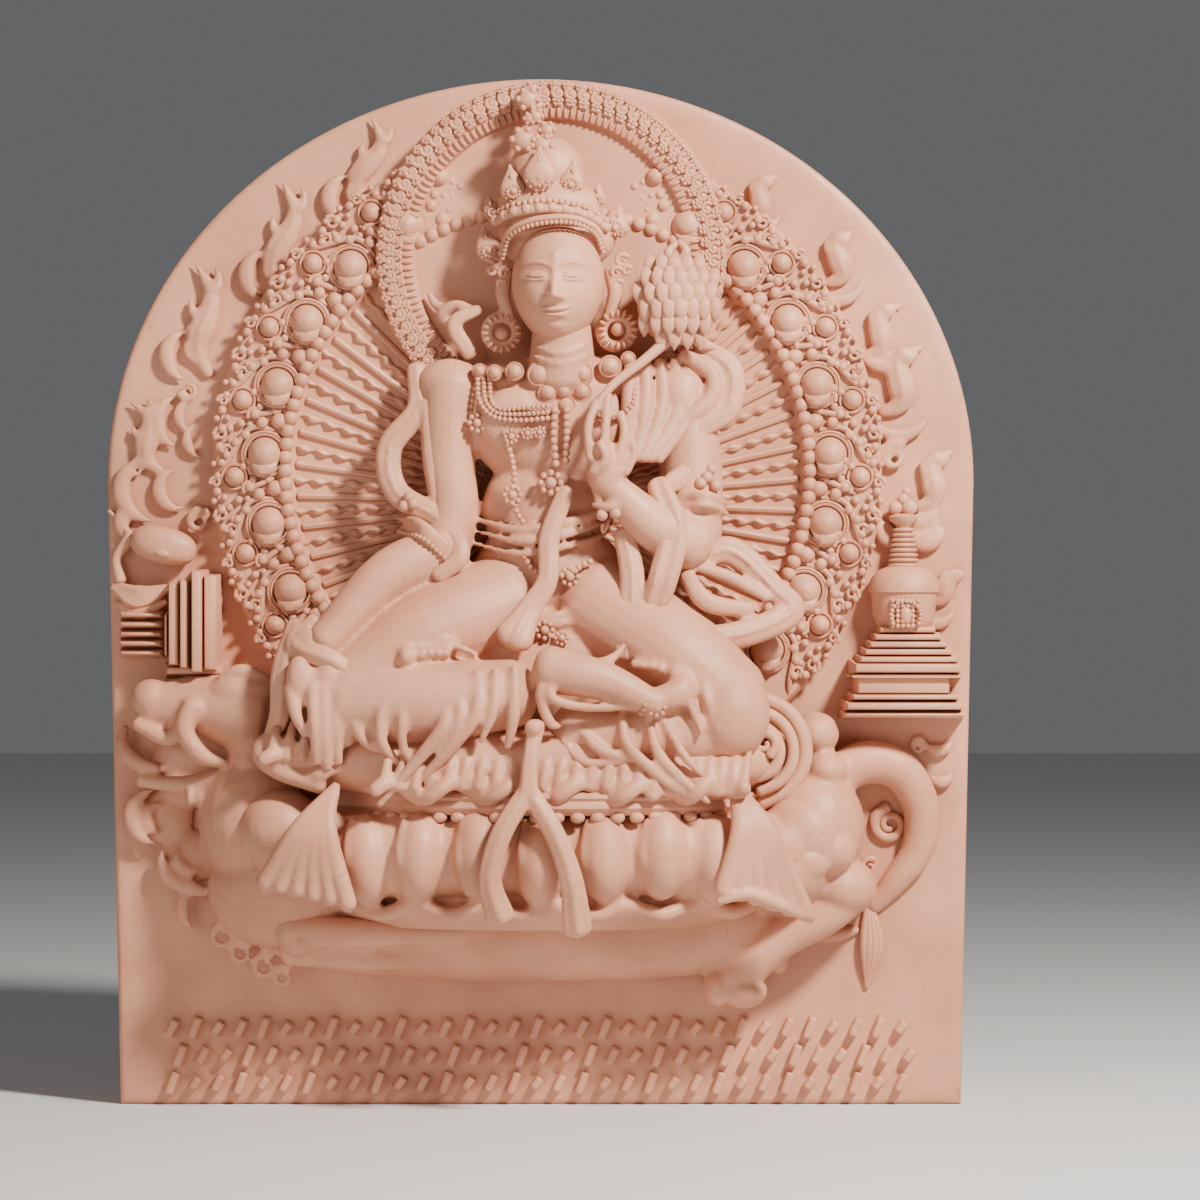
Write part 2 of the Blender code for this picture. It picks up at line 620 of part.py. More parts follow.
def make_skin(helpers):
    """The slab and the carving fused into one skin and faceted."""
    carving = bpy.data.objects.new("carving", joined_shapes())
    helpers.objects.link(carving)
    fuse = carving.modifiers.new("Fuse", "REMESH")
    fuse.mode = "VOXEL"
    fuse.voxel_size = VOXEL
    facets = carving.modifiers.new("Facets", "DECIMATE")
    facets.ratio = KEPT_SHARE
    facets.use_collapse_triangulate = True
    bpy.context.view_layer.update()
    graph = bpy.context.evaluated_depsgraph_get()
    skin = bpy.data.meshes.new_from_object(carving.evaluated_get(graph))
    bpy.data.objects.remove(carving, do_unlink=True)
    return skin


def true_flats(mesh):
    """Sets the foot, the back and the crown of the slab on their exact sizes."""
    for vertex in mesh.vertices:
        if vertex.co.z < FLAT_REACH:
            vertex.co.z = 0
        if vertex.co.z > PLAQUE_HEIGHT - FLAT_REACH / 8:
            vertex.co.z = PLAQUE_HEIGHT
        if vertex.co.y > SLAB_THICKNESS / 2 - FLAT_REACH:
            vertex.co.y = SLAB_THICKNESS / 2


def clay_material():
    """Fired clay, pale terracotta."""
    material = bpy.data.materials.new("clay")
    material.use_nodes = True
    shader = material.node_tree.nodes["Principled BSDF"]
    shader.inputs["Base Color"].default_value = (0.62, 0.30, 0.19, 1)
    shader.inputs["Roughness"].default_value = 0.6
    return material


def main():
    clear_scene()
    plaque_collection = bpy.data.collections.new("votive_plaque")
    bpy.context.scene.collection.children.link(plaque_collection)
    helpers = bpy.data.collections.new("helpers")
    helpers.hide_render = True
    bpy.context.scene.collection.children.link(helpers)
    add_slab()
    carve_glory()
    carve_halo()
    carve_flames()
    carve_books()
    carve_stupa()
    carve_beast()
    carve_bolster()
    carve_cloth()
    carve_legs()
    carve_torso()
    carve_arms()
    carve_scarves()
    carve_head()
    carve_lotus()
    carve_inscription()
    mesh = make_skin(helpers)
    largest_island(mesh)
    true_flats(mesh)
    mesh.materials.clear()
    mesh.materials.append(clay_material())
    plaque = bpy.data.objects.new("plaque", mesh)
    plaque_collection.objects.link(plaque)


main()
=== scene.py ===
"""Looks of the moulded clay plaque: fine relief as numpy grids, one clay finish, studio light and camera.

The relief is laid out in steps, 1037 to the plaque's height: x to the right and z up from the middle of
the foot, and depth counted out from the slab's face. A shape is a pair (points, faces) in these steps.
"""
import math

import bpy
import numpy as np
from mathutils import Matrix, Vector


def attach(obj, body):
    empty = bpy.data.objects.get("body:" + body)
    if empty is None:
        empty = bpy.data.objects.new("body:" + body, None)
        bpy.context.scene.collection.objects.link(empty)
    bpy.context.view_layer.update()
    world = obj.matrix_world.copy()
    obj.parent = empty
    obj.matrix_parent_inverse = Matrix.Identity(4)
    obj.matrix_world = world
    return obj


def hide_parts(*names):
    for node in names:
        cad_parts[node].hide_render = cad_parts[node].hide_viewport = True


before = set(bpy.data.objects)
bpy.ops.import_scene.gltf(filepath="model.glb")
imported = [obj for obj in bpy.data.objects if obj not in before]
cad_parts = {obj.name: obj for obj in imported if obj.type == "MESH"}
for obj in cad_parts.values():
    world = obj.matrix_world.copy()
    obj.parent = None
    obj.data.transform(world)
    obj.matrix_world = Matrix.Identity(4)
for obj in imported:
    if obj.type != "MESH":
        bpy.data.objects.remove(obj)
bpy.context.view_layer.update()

PLAQUE_HEIGHT = 0.150
STEPS_HIGH = 1037
STEP = PLAQUE_HEIGHT / STEPS_HIGH
HALF_SLAB = 0.011
FACE = -HALF_SLAB
ROOT = -8
SPRING = 630
HALF_WIDTH = 438
FOOT_HALF_WIDTH = 425
GLORY = np.array([7.0, 640.0])
HALO = np.array([11.0, 856.0])
STROKE_DEPTH = 12
STROKE_ROWS = (78, 50, 22)
STROKES_IN_ROW = 33
DARK_BUFF = (0.47, 0.205, 0.115, 1)
PALE_BUFF = (0.60, 0.285, 0.170, 1)
SPECK = (0.30, 0.12, 0.065, 1)
FRAME_WIDTH = 0.1736
LENS = 135
SENSOR = 36
AIM_X = 60
AIM_Z = 510
RELIEF_MIDDLE = 50


def curve_through(points, per_span=8):
    """Catmull-Rom curve: P(t) = half of (2b + (c-a)t + (2a-5b+4c-d)t^2 + (3b-a-3c+d)t^3) on each span."""
    p = np.asarray(points, float)
    if len(p) == 2:
        t = np.linspace(0, 1, per_span + 1)[:, None]
        return p[0] * (1 - t) + p[1] * t
    ends = np.vstack([2 * p[0] - p[1], p, 2 * p[-1] - p[-2]])
    a, b, c, d = ends[:-3], ends[1:-2], ends[2:-1], ends[3:]
    t = (np.arange(per_span) / per_span)[None, :, None]
    a, b, c, d = a[:, None], b[:, None], c[:, None], d[:, None]
    out = 0.5 * (2 * b + (c - a) * t + (2 * a - 5 * b + 4 * c - d) * t**2 + (3 * b - a - 3 * c + d) * t**3)
    return np.vstack([out.reshape(-1, p.shape[1]), p[-1:]])


def grid_faces(rows, cols, wrap=True):
    """Quads of a rows by cols grid of points, closed round the columns when wrap is set."""
    i = np.arange(rows - 1)[:, None]
    j = np.arange(cols if wrap else cols - 1)[None, :]
    k = (j + 1) % cols
    quads = np.stack([i * cols + j, i * cols + k, (i + 1) * cols + k, (i + 1) * cols + j], -1)
    return quads.reshape(-1, 4)


def tube(path, radii, flat=1.0, sides=12, ripple=0.0, waves=5, per_span=8):
    """Sweep: C(t) + r(t) (cos a U + flat (1 + ripple cos(waves pi cos a)) sin a V).

    U lies in the picture plane, and both ends close by shrinking r.
    """
    radii = np.full(len(path), radii, float) if np.isscalar(radii) else np.asarray(radii, float)
    full = curve_through(np.column_stack([np.asarray(path, float), radii]), per_span)
    c, r = full[:, :3], np.maximum(full[:, 3], 0.4)
    tangent = np.gradient(c, axis=0)
    tangent /= np.linalg.norm(tangent, axis=1)[:, None] + 1e-9
    across = np.column_stack([-tangent[:, 1], tangent[:, 0], np.zeros(len(c))])
    across /= np.linalg.norm(across, axis=1)[:, None] + 1e-9
    out = np.cross(across, tangent)
    out *= np.where(out[:, 2:3] < 0, -1, 1)
    cap = np.array([0.995, 0.87, 0.6, 0.05])
    push = np.array([0.1, 0.5, 0.8, 1.0])
    start = c[0] - tangent[0] * (push * r[0] * 0.7)[::-1, None]
    end = c[-1] + tangent[-1] * (push * r[-1] * 0.7)[:, None]
    c = np.vstack([start, c, end])
    r = np.concatenate([r[0] * cap[::-1], r, r[-1] * cap])
    across = np.vstack([np.repeat(across[:1], 4, 0), across, np.repeat(across[-1:], 4, 0)])
    out = np.vstack([np.repeat(out[:1], 4, 0), out, np.repeat(out[-1:], 4, 0)])
    a = np.linspace(0, 2 * np.pi, sides, endpoint=False)
    lift = flat * (1 + ripple * np.cos(waves * np.pi * np.cos(a)))
    ring = np.cos(a)[None, :, None] * across[:, None] + (lift * np.sin(a))[None, :, None] * out[:, None]
    points = c[:, None] + r[:, None, None] * ring
    faces = grid_faces(len(c), sides)
    count = len(c) * sides
    tips = np.vstack([points[0].mean(0), points[-1].mean(0)])
    j = np.arange(sides)
    k = (j + 1) % sides
    first = np.column_stack([np.full(sides, count), k, j, j])
    last = np.column_stack([np.full(sides, count + 1), count - sides + j, count - sides + k,
        count - sides + k])
    return np.vstack([points.reshape(-1, 3), tips]), np.vstack([faces, first, last])


def lump(middle, radii, turn=0.0, square=1.0, rows=14, cols=22):
    """Ellipsoid m + R(turn) (rx s(cos v cos u), rz s(sin v), rd s(cos v sin u)), s a signed power."""
    v = np.linspace(-np.pi / 2, np.pi / 2, rows)[:, None]
    u = np.linspace(0, 2 * np.pi, cols, endpoint=False)[None, :]
    full = np.stack([np.cos(v) * np.cos(u), np.sin(v) + 0 * u, np.cos(v) * np.sin(u)], -1)
    full = np.sign(full) * np.abs(full) ** square * np.asarray(radii, float)
    c, s = math.cos(math.radians(turn)), math.sin(math.radians(turn))
    x = full[..., 0] * c - full[..., 1] * s + middle[0]
    z = full[..., 0] * s + full[..., 1] * c + middle[1]
    points = np.stack([x, z, full[..., 2] + middle[2]], -1).reshape(-1, 3)
    return points, grid_faces(rows, cols)[:, ::-1]


def lathe(profile, middle, upright=False, squash=1.0, steps=96):
    """Spin (r cos u, r sin u) at height h about the depth axis, or about z, its depth times squash."""
    profile = np.asarray(profile, float)
    u = np.linspace(0, 2 * np.pi, steps, endpoint=False)[None, :]
    r, h = profile[:, :1], profile[:, 1:2] + 0 * u
    if upright:
        points = np.stack([r * np.cos(u), h, -r * np.sin(u) * squash], -1)
    else:
        points = np.stack([r * np.cos(u), r * np.sin(u), h], -1)
    points = (points + np.asarray(middle, float)).reshape(-1, 3)
    return points, grid_faces(len(profile), steps)[:, ::-1]


def bar(path, width, depth, root=ROOT, edge=2.0, draft=1.5, per_span=5):
    """Flat-topped bar: a section with soft shoulders carried along the path on its unit normals."""
    width = np.full(len(path), width, float) if np.isscalar(width) else np.asarray(width, float)
    full = curve_through(np.column_stack([np.asarray(path, float), width]), per_span)
    c, w = full[:, :2], full[:, 2] / 2
    tangent = np.gradient(c, axis=0)
    tangent /= np.linalg.norm(tangent, axis=1)[:, None] + 1e-9
    c = np.vstack([c[:1], c[:1] + tangent[:1] * edge, c[1:-1], c[-1:] - tangent[-1:] * edge, c[-1:]])
    w = np.concatenate([w[:1], w, w[-1:]])
    tangent = np.vstack([tangent[:1], tangent, tangent[-1:]])
    across = np.column_stack([-tangent[:, 1], tangent[:, 0]])
    grow = np.array([draft, 0, -edge * 0.4, -edge * 1.3])
    high = np.array([root, depth - edge, depth - edge * 0.35, depth])
    side = np.concatenate([-np.ones(4), np.ones(4)])
    grow, high = np.concatenate([grow, grow[::-1]]), np.concatenate([high, high[::-1]])
    reach = side * np.maximum(w[:, None] + grow, 0.5)
    points = np.concatenate([c[:, None] + reach[..., None] * across[:, None],
        np.tile(high, (len(c), 1))[..., None]], -1)
    for row in (0, -1):
        points[row, :, 2] = np.where(points[row, :, 2] > root, points[row, :, 2] - edge, root)
    n = 8
    faces = grid_faces(len(c), n)
    ends = np.array([[0, 1, 2, 3], [0, 3, 4, 7], [4, 5, 6, 7]])
    last = (len(c) - 1) * n + ends[:, ::-1]
    return points.reshape(-1, 3), np.vstack([faces, ends, last])[:, ::-1]


def block(left, right, low, high, depth, draft=3.0, edge=1.5):
    """Box with drafted sides and a narrow bevel, four corner rings from root to front."""
    rings = []
    for grow, out in ((draft * 0.6, ROOT), (-draft, depth - edge),
            (-draft - edge * 0.4, depth - edge * 0.3), (-draft - edge, depth)):
        x0, x1, z0, z1 = left - grow, right + grow, low - grow, high + grow
        rings.append([(x0, z0, out), (x1, z0, out), (x1, z1, out), (x0, z1, out)])
    points = np.array(rings, float).reshape(-1, 3)
    faces = np.vstack([grid_faces(4, 4), [[3, 2, 1, 0]], [[12, 13, 14, 15]]])
    return points, faces


def joined(shapes):
    """One list of points and faces from many."""
    points, faces, count = [], [], 0
    for p, f in shapes:
        points.append(p)
        faces.append(f + count)
        count += len(p)
    return np.vstack(points), np.vstack(faces)


def copies(template, places, sizes=1.0, turns=None):
    """Template points turned in the picture plane, scaled and set at every place, all in one array."""
    p, f = template
    places = np.asarray(places, float)
    n = len(places)
    sizes = np.broadcast_to(np.asarray(sizes, float), (n,))
    turns = np.zeros(n) if turns is None else np.radians(np.broadcast_to(np.asarray(turns, float), (n,)))
    c, s = np.cos(turns)[:, None], np.sin(turns)[:, None]
    x = p[None, :, 0] * c - p[None, :, 1] * s
    z = p[None, :, 0] * s + p[None, :, 1] * c
    points = np.stack([x, z, np.broadcast_to(p[None, :, 2], x.shape)], -1) * sizes[:, None,
        None] + places[:, None]
    faces = f[None] + (np.arange(n) * len(p))[:, None, None]
    return points.reshape(-1, 3), faces.reshape(-1, f.shape[1])


def along(path, pitch, per_span=24):
    """Points at even spacing on the curve through the path."""
    c = curve_through(path, per_span)
    run = np.concatenate([[0], np.cumsum(np.linalg.norm(np.diff(c, axis=0), axis=1))])
    n = max(2, int(round(run[-1] / pitch)) + 1)
    at = np.linspace(0, run[-1], n)
    return np.column_stack([np.interp(at, run, c[:, k]) for k in range(c.shape[1])])


BEAD = lump((0, 0, 0), (1, 1, 1), rows=7, cols=10)
KNOB = lump((0, 0, 0), (1, 1, 1), rows=6, cols=8)


def beads(path, radius):
    """String of beads, their pitch 1.85 radii."""
    return copies(BEAD, along(path, radius * 1.85), radius)


def polar(centre, radius, degrees):
    """Points m + r (cos a, sin a) in the picture plane."""
    a = np.radians(degrees)
    return np.stack([centre[0] + radius * np.cos(a), centre[1] + radius * np.sin(a)], -1)


def ring_of(centre, radius, degrees, depth):
    """Points at these angles on a circle, all at one depth."""
    p = polar(centre, radius, degrees)
    return np.column_stack([p, np.full(len(p), float(depth))])


def arc(centre, radius, start, sweep, depth, count=7):
    """Points on part of a circle at one depth."""
    return ring_of(centre, radius, start + sweep * np.linspace(0, 1, count), depth)


def crescent(centre, radius, start, sweep, size, depth=4, flat=0.7):
    """Leaf on part of a circle, r(t) = 1.2 + size sin(pi t)."""
    share = np.linspace(0, 1, 7)
    return tube(arc(centre, radius, start, sweep, depth), 1.2 + size * np.sin(np.pi * share), flat, 14,
        per_span=5)


def spiral(centre, radius, start, turns, size, depth):
    """Snail: the radius falls evenly to a quarter while the angle runs, the cord thins with it."""
    share = np.linspace(0, 1, 12)
    p = polar(centre, 1, start + 360 * turns * share)
    p = np.array(centre) + (p - np.array(centre)) * (radius * (1 - 0.75 * share))[:, None]
    return tube(np.column_stack([p, np.full(12, float(depth))]), size * (1 - 0.5 * share), 0.8, 10,
        per_span=3)


clay = bpy.data.materials.new("clay_finish")


def new_shape(name, points, faces):
    """Object in the scene, its points in metres; a quad with one corner twice becomes a triangle."""
    place = np.column_stack([points[:, 0] * STEP, FACE - points[:, 2] * STEP, points[:, 1] * STEP])
    pinched = faces[:, 2] == faces[:, 3]
    mesh = bpy.data.meshes.new(name)
    mesh.from_pydata(place, [], faces[~pinched].tolist() + faces[pinched, :3].tolist())
    mesh.update()
    shape = bpy.data.objects.new(name, mesh)
    bpy.context.scene.collection.objects.link(shape)
    return shape


def finished(shape):
    """Clay on the shape, which rides on the plaque's one body."""
    shape.data.materials.clear()
    shape.data.materials.append(clay)
    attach(shape, "root")
    return shape


def piece(name, shapes, fuse=0.0, smooth=4):
    """A named mesh; with fuse set its shapes are melted into one skin of that cell size and relaxed."""
    points, faces = joined(shapes)
    points[:, 2] = np.maximum(points[:, 2], ROOT)
    shape = new_shape(name, points, faces)
    mesh = shape.data
    if fuse:
        melt = shape.modifiers.new("Melt", "REMESH")
        melt.mode = "VOXEL"
        melt.voxel_size = fuse
        relax = shape.modifiers.new("Relax", "SMOOTH")
        relax.factor = 0.5
        relax.iterations = smooth
        bpy.context.view_layer.update()
        skin = bpy.data.meshes.new_from_object(shape.evaluated_get(bpy.context.evaluated_depsgraph_get()))
        shape.modifiers.clear()
        shape.data = skin
        bpy.data.meshes.remove(mesh)
        mesh = skin
        mesh.name = name
    mesh.shade_smooth()
    if not fuse:
        mesh.set_sharp_from_angle(angle=math.radians(42))
    return finished(shape)


def make_slab():
    """Arched body: an outline of flaring sides and a half ellipse, carried from back to front."""
    turn = np.linspace(0, np.pi, 81)
    arch = np.column_stack([HALF_WIDTH * np.cos(turn), SPRING + (STEPS_HIGH - SPRING) * np.sin(turn)])
    rise = np.linspace(0, 1, 24)[:, None]
    right = np.array([FOOT_HALF_WIDTH, 0]) * (1 - rise) + np.array([HALF_WIDTH, SPRING]) * rise
    left = right[::-1] * [-1, 1]
    foot = np.column_stack([np.linspace(-FOOT_HALF_WIDTH, FOOT_HALF_WIDTH, 40)[1:-1], np.zeros(38)])
    line = np.vstack([right[:-1], arch, left[1:], foot])
    middle = np.array([0, 500.0])
    thick = 2 * HALF_SLAB / STEP
    rings = []
    back_edge = ((0.5, -thick), (0.02, -thick), (0.008, -thick + 0.8), (0, -thick + 4), (0, -60))
    front_edge = ((0, -4), (0.004, -1.2), (0.012, 0), (0.03, 0), (0.5, 0))
    for inset, depth in back_edge + front_edge:
        ring = middle + (line - middle) * (1 - inset)
        ring[:, 1] = np.maximum(ring[:, 1], 0 if inset < 0.1 else ring[:, 1])
        rings.append(np.column_stack([ring, np.full(len(line), float(depth))]))
    n = len(line)
    points = np.vstack(rings)
    count = len(points)
    points = np.vstack([points, [[0, 500, -thick], [0, 500, 0]]])
    j = np.arange(n)
    k = (j + 1) % n
    back = np.column_stack([np.full(n, count), k, j, j])
    front = np.column_stack([np.full(n, count + 1), count - n + j, count - n + k, count - n + k])
    faces = np.vstack([grid_faces(len(rings), n), back, front])
    shape = new_shape("slab", points, faces)
    shape.data.shade_smooth()
    shape.data.set_sharp_from_angle(angle=math.radians(50))
    return finished(shape)


def make_glory():
    """Rayed field, bead ring and band of bosses, every unit a turn of the same pattern."""
    profile = [(0.01, 12), (254, 12), (258, 18), (333, 19), (337, 15), (339, ROOT), (0.01, ROOT)]
    field = [lathe(profile, (*GLORY, 0), steps=180)]
    centre = GLORY - [0, 30]
    for k in range(100):
        degrees = -42 + k * 3.62
        if 222 < degrees % 360 < 318:
            continue
        way = polar((0, 0), 1, degrees)
        offset = centre - GLORY
        b = float(way @ offset)
        far = -b + math.sqrt(b * b - float(offset @ offset) + 256.0**2)
        radius = np.linspace(70, far, 44)
        p = centre + way * radius[:, None]
        if k % 2:
            field.append(tube(np.column_stack([p, np.full(44, 12.5)])[::14], 3.9, 1.1, 8, per_span=2))
        else:
            side = np.array([-way[1], way[0]])
            swell = 3.6 + 1.5 * np.sin(radius * 2 * np.pi / 19)
            sway = p + side * (1.2 * np.sin(radius * 2 * np.pi / 19 + 1.2))[:, None]
            field.append(tube(np.column_stack([sway, np.full(44, 12.0)]), swell, 1.15, 8, per_span=1))
    piece("glory_field", field)
    angles = np.arange(0, 360, 360 / 124)
    ring = ring_of(GLORY, 264, angles, 22)
    piece("glory_bead_ring", [copies(lump((0, 0, 0), (1, 1, 1), rows=9, cols=14), ring, 7.6)])
    units = []
    drop = lump((0, 0, 0), (1, 1, 0.8), rows=8, cols=12)
    for side in (-1, 1):
        for k in range(8):
            degrees = 46 + 14.2 - k * 14.2

            def on(radius, turn, depth):
                """Point of this unit on the glory, mirrored for the left side."""
                q = polar((0, 0), radius, degrees + turn)
                return (GLORY[0] + side * q[0], GLORY[1] + q[1], depth)

            def turned_at(turn):
                """Angle in the picture plane that matches a turn on this side."""
                return (degrees + turn) if side > 0 else 180 - (degrees + turn)

            spot = on(285, 0, 19)
            units.append(lathe([(0.01, 17), (6, 16), (11, 13), (15, 8), (17, 2), (17.4, -6)],
                (spot[0], spot[1], 20), steps=30))
            units.append(lathe([(17.8, 2), (18.6, 5), (20, 5.6), (21.2, 3.4), (22.2, 5), (23.6, 4.4),
                (24.6, 0), (25, -6), (17, -6)], (spot[0], spot[1], 19), steps=36))
            units.append(tube(arc((spot[0], spot[1]), 14.5, -145, 110, 28), [2, 5, 7.5, 8, 7.5, 5, 2],
                0.7, 8, per_span=2))
            units.append(tube([on(278, 5.2, 20), on(303, 4.6, 22), on(322, -1.5, 21), on(334, -4.2, 17)],
                [2.2, 3, 3, 1.2], 1.0, 8, per_span=4))
            units.append(tube([on(276, -5.0, 20), on(292, -6.2, 22), on(310, -7.6, 20)], [2.0, 3, 1.4],
                1.0, 8, per_span=4))
            small = on(315, -4.5 + 14.2, 19)
            units.append(lathe([(0.01, 12), (4.5, 11), (8.5, 7), (10, 1), (10.4, 0), (11.6, 3), (13, 3.4),
                (14.4, 0), (14.8, -6)], (small[0], small[1], 20), steps=24))
            ball = on(274, 7.1, 20)
            units.append(lump(ball, (9.0, 8.2, 8), turned_at(7.1), rows=9, cols=14))
            cluster = []
            for radius, turn, size in (
                (291, 6.2, 6), (300, 7.6, 5), (296, 9.2, 4), (306, 3.4, 5), (315, 1.8, 5),
                (323, -0.6, 4.4), (331, 0.8, 4.6), (330, 4.0, 4.6),
                (333, 7.2, 4.4), (328, 12.2, 4.2), (322, 4.2, 3.8), (306, 11.6, 4), (299, 12.8, 4.4),
                (281, 9.0, 3.8), (290, 10.6, 3.6),
                (332, 9.9, 3.8), (312, 5.4, 4.2), (320, 2.0, 3.6), (326, 6.0, 3.2), (303, 5.4, 3.4),
                (336, 2.4, 3.4), (337, 5.6, 3.4), (336, 12.0, 3.2)):
                cluster.append((*on(radius, turn, 20 + size * 0.55), size))
            cluster = np.array(cluster)
            units.append(copies(drop, cluster[:, :3], cluster[:, 3]))
            for radius, turn, size in ((300, 7.6, 7.2), (331, 3.0, 7.0), (322, 0.2, 6.4),
                    (294, 11.2, 6.2), (334, 8.8, 5.6)):
                x, z, _ = on(radius, turn, 0)
                units.append(spiral((x, z), size, turned_at(30 + radius), 1.2 * side, 2.4, 22.5))
    piece("glory_bosses", units)


def make_halo():
    """Disc with a raised band: fine bars inside, then three rows of rosettes."""
    piece("halo_disc", [lathe([(0.01, 24), (137, 24), (139, 30), (142, 31), (174, 31), (176, 27),
        (177, ROOT), (0.01, ROOT)], (*HALO, 0), steps=180)])
    band = []
    n = 132
    angles = np.arange(n) * 360 / n
    bar_shape = lump((0, 0, 0), (6.2, 1.9, 3.2), rows=6, cols=8)
    band.append(copies(bar_shape, ring_of(HALO, 144.5, angles, 31), 1.0, angles))
    petals = [lump((3.1 * math.cos(a), 3.1 * math.sin(a), 0), (2.6, 2.6, 2.6), rows=5,
        cols=7) for a in np.arange(5) * 2 * np.pi / 5]
    rosette = joined([*petals, lump((0, 0, 1.6), (1.7, 1.7, 1.9), rows=5, cols=7)])
    scroll = joined([spiral((0, 0), 5.4, 40, 1.1, 2.2, 0.8),
        lump((0, 0, 0), (3.4, 3.4, 2.4), rows=5, cols=8)])
    for radius, count, size, shape, shift in ((155, 74, 1.12, rosette, 0.0),
            (163.5, 76, 1.16, scroll, 0.5), (171, 82, 1.0, rosette, 0.25)):
        at = (np.arange(count) + shift) * 360 / count
        band.append(copies(shape, ring_of(HALO, radius, at, 32.6), size, at))
    piece("halo_band", band)


def flame_shapes(root, tip, swing, size):
    """Tongue of fire with a hooked side tip and a groove line, along a double bend."""
    root, tip = np.array(root, float), np.array(tip, float)
    way = tip - root
    side = np.array([-way[1], way[0]])
    side /= np.linalg.norm(side)
    share = np.linspace(0, 1, 9)
    path = root + way * share[:, None] + side * (swing * np.sin(share * 2.2 * np.pi))[:, None]
    radii = np.where(share < 0.45, size * (0.35 + 1.3 * share), size * 1.25 * (1 - share) ** 0.9 + 1.4)
    body = tube(np.column_stack([path, 3 + 3 * share]), radii, 0.62, 16, 0.16, 3)
    hooks = []
    for at, sign, reach in ((0.62, 1, 0.9), (0.8, -1, 0.6)):
        base = path[int(at * 8)]
        a = base + side * sign * size * 0.5
        b = base + side * sign * size * reach + way * 0.10
        c = base + side * sign * size * reach * 0.7 + way * 0.2
        hooks.append(tube([(*base, 6), (*a, 7), (*b, 6), (*c, 4)],
            [size * 0.5, size * 0.36, size * 0.25, 1.2], 0.7, 10, per_span=4))
    return [body, *hooks]


def make_flames():
    """Fire along both shoulders, each tongue with curled leaves at its root."""
    left = []
    for root, tip, swing, size in (((-180, 912), (-166, 998), 9, 15), ((-262, 820), (-257, 936), 10, 17),
            ((-335, 738), (-345, 853), 9, 17), ((-385, 640), (-412, 713), 8, 15)):
        left += flame_shapes(root, tip, swing, size)
    for x, z in ((-188, 915), (-272, 838), (-352, 757), (-362, 690)):
        left.append(crescent((x, z), 26, 105, 150, 8, 5))
        left.append(crescent((x + 12, z + 6), 16, 100, 150, 5, 5))
        left.append(spiral((x + 6, z + 32), 10, 200, 1.1, 4, 6))
    left.append(crescent((-392, 622), 32, 110, 160, 9, 5))
    left.append(crescent((-366, 622), 20, 100, 190, 7, 5))
    left.append(crescent((-400, 590), 24, 120, 130, 7, 5))
    left.append(spiral((-345, 590), 13, 30, 1.4, 4.5, 7))
    left.append(spiral((-408, 642), 10, 30, 1.2, 3.5, 6))
    left.append(crescent((-340, 672), 18, 120, 140, 5, 5))
    piece("flames_left", left, 0.00038, 3)
    right = []
    for root, tip, swing, size in (((206, 892), (240, 942), -9, 14), ((290, 830), (314, 886), -10, 16),
            ((325, 757), (364, 812), -11, 15), ((345, 700), (384, 770), -12, 18),
            ((380, 604), (415, 664), -10, 16), ((392, 508), (430, 541), -6, 12)):
        right += flame_shapes(root, tip, swing, size)
    for x, z, r in ((222, 905, 20), (300, 838, 26), (345, 770, 24), (362, 706, 30), (350, 680, 20),
            (380, 612, 24), (376, 600, 28), (406, 540, 16), (398, 506, 20), (402, 372, 14),
            (404, 338, 12)):
        right.append(crescent((x, z), r, 200, 150, 6, 5))
    right.append(spiral((357, 655), 14, 60, 1.4, 5, 7))
    right.append(spiral((382, 362), 9, 60, 1.2, 3.5, 6))
    right.append(crescent((384, 590), 24, 230, 120, 8, 5))
    right.append(tube([(338, 600, 4), (346, 575, 6), (362, 562, 6)], [3, 8, 4], 0.7))
    piece("flames_right", right, 0.00038, 3)


def make_books():
    """Tied books, scroll, jewel and ribbon at the viewer's left."""
    shapes = [
        tube([(-415, 572, 8), (-428, 552, 10), (-424, 530, 10)], [7, 5, 6], 1, 12),
        lump((-380, 565, 16), (34, 19, 18), -14, 0.85, 16, 26),
        lump((-380, 557, 30), (9, 5, 5), -14),
        tube([(-430, 524, 10), (-404, 512, 18), (-376, 522, 20)], [5, 13, 4], 0.6, 14, 0.2, 3),
        tube([(-428, 506, 10), (-402, 498, 18), (-378, 508, 18)], [4, 8, 3], 0.7),
        block(-378, -373, 452, 498, 40, 2),
        tube([(-352, 440, 12), (-350, 420, 16), (-338, 408, 18)], [9, 7, 5]),
        tube([(-436, 600, 3), (-424, 588, 5), (-415, 575, 8)], [2, 3, 5]),
    ]
    for k in range(5):
        shapes.append(block(-424, -379, 452 + 9.6 * k, 461 + 9.6 * k, 33 + (k % 2) * 2.5, 3))
    for x0, x1, z0, z1, d in ((-374, -360, 443, 528, 50), (-362, -350, 440, 532, 56),
            (-350, -336, 436, 540, 62), (-338, -322, 438, 536, 54)):
        shapes.append(block(x0, x1, z0, z1, d, 2.5))
    shapes.append(block(-378, -316, 432, 446, 40, 4))
    piece("books", shapes)


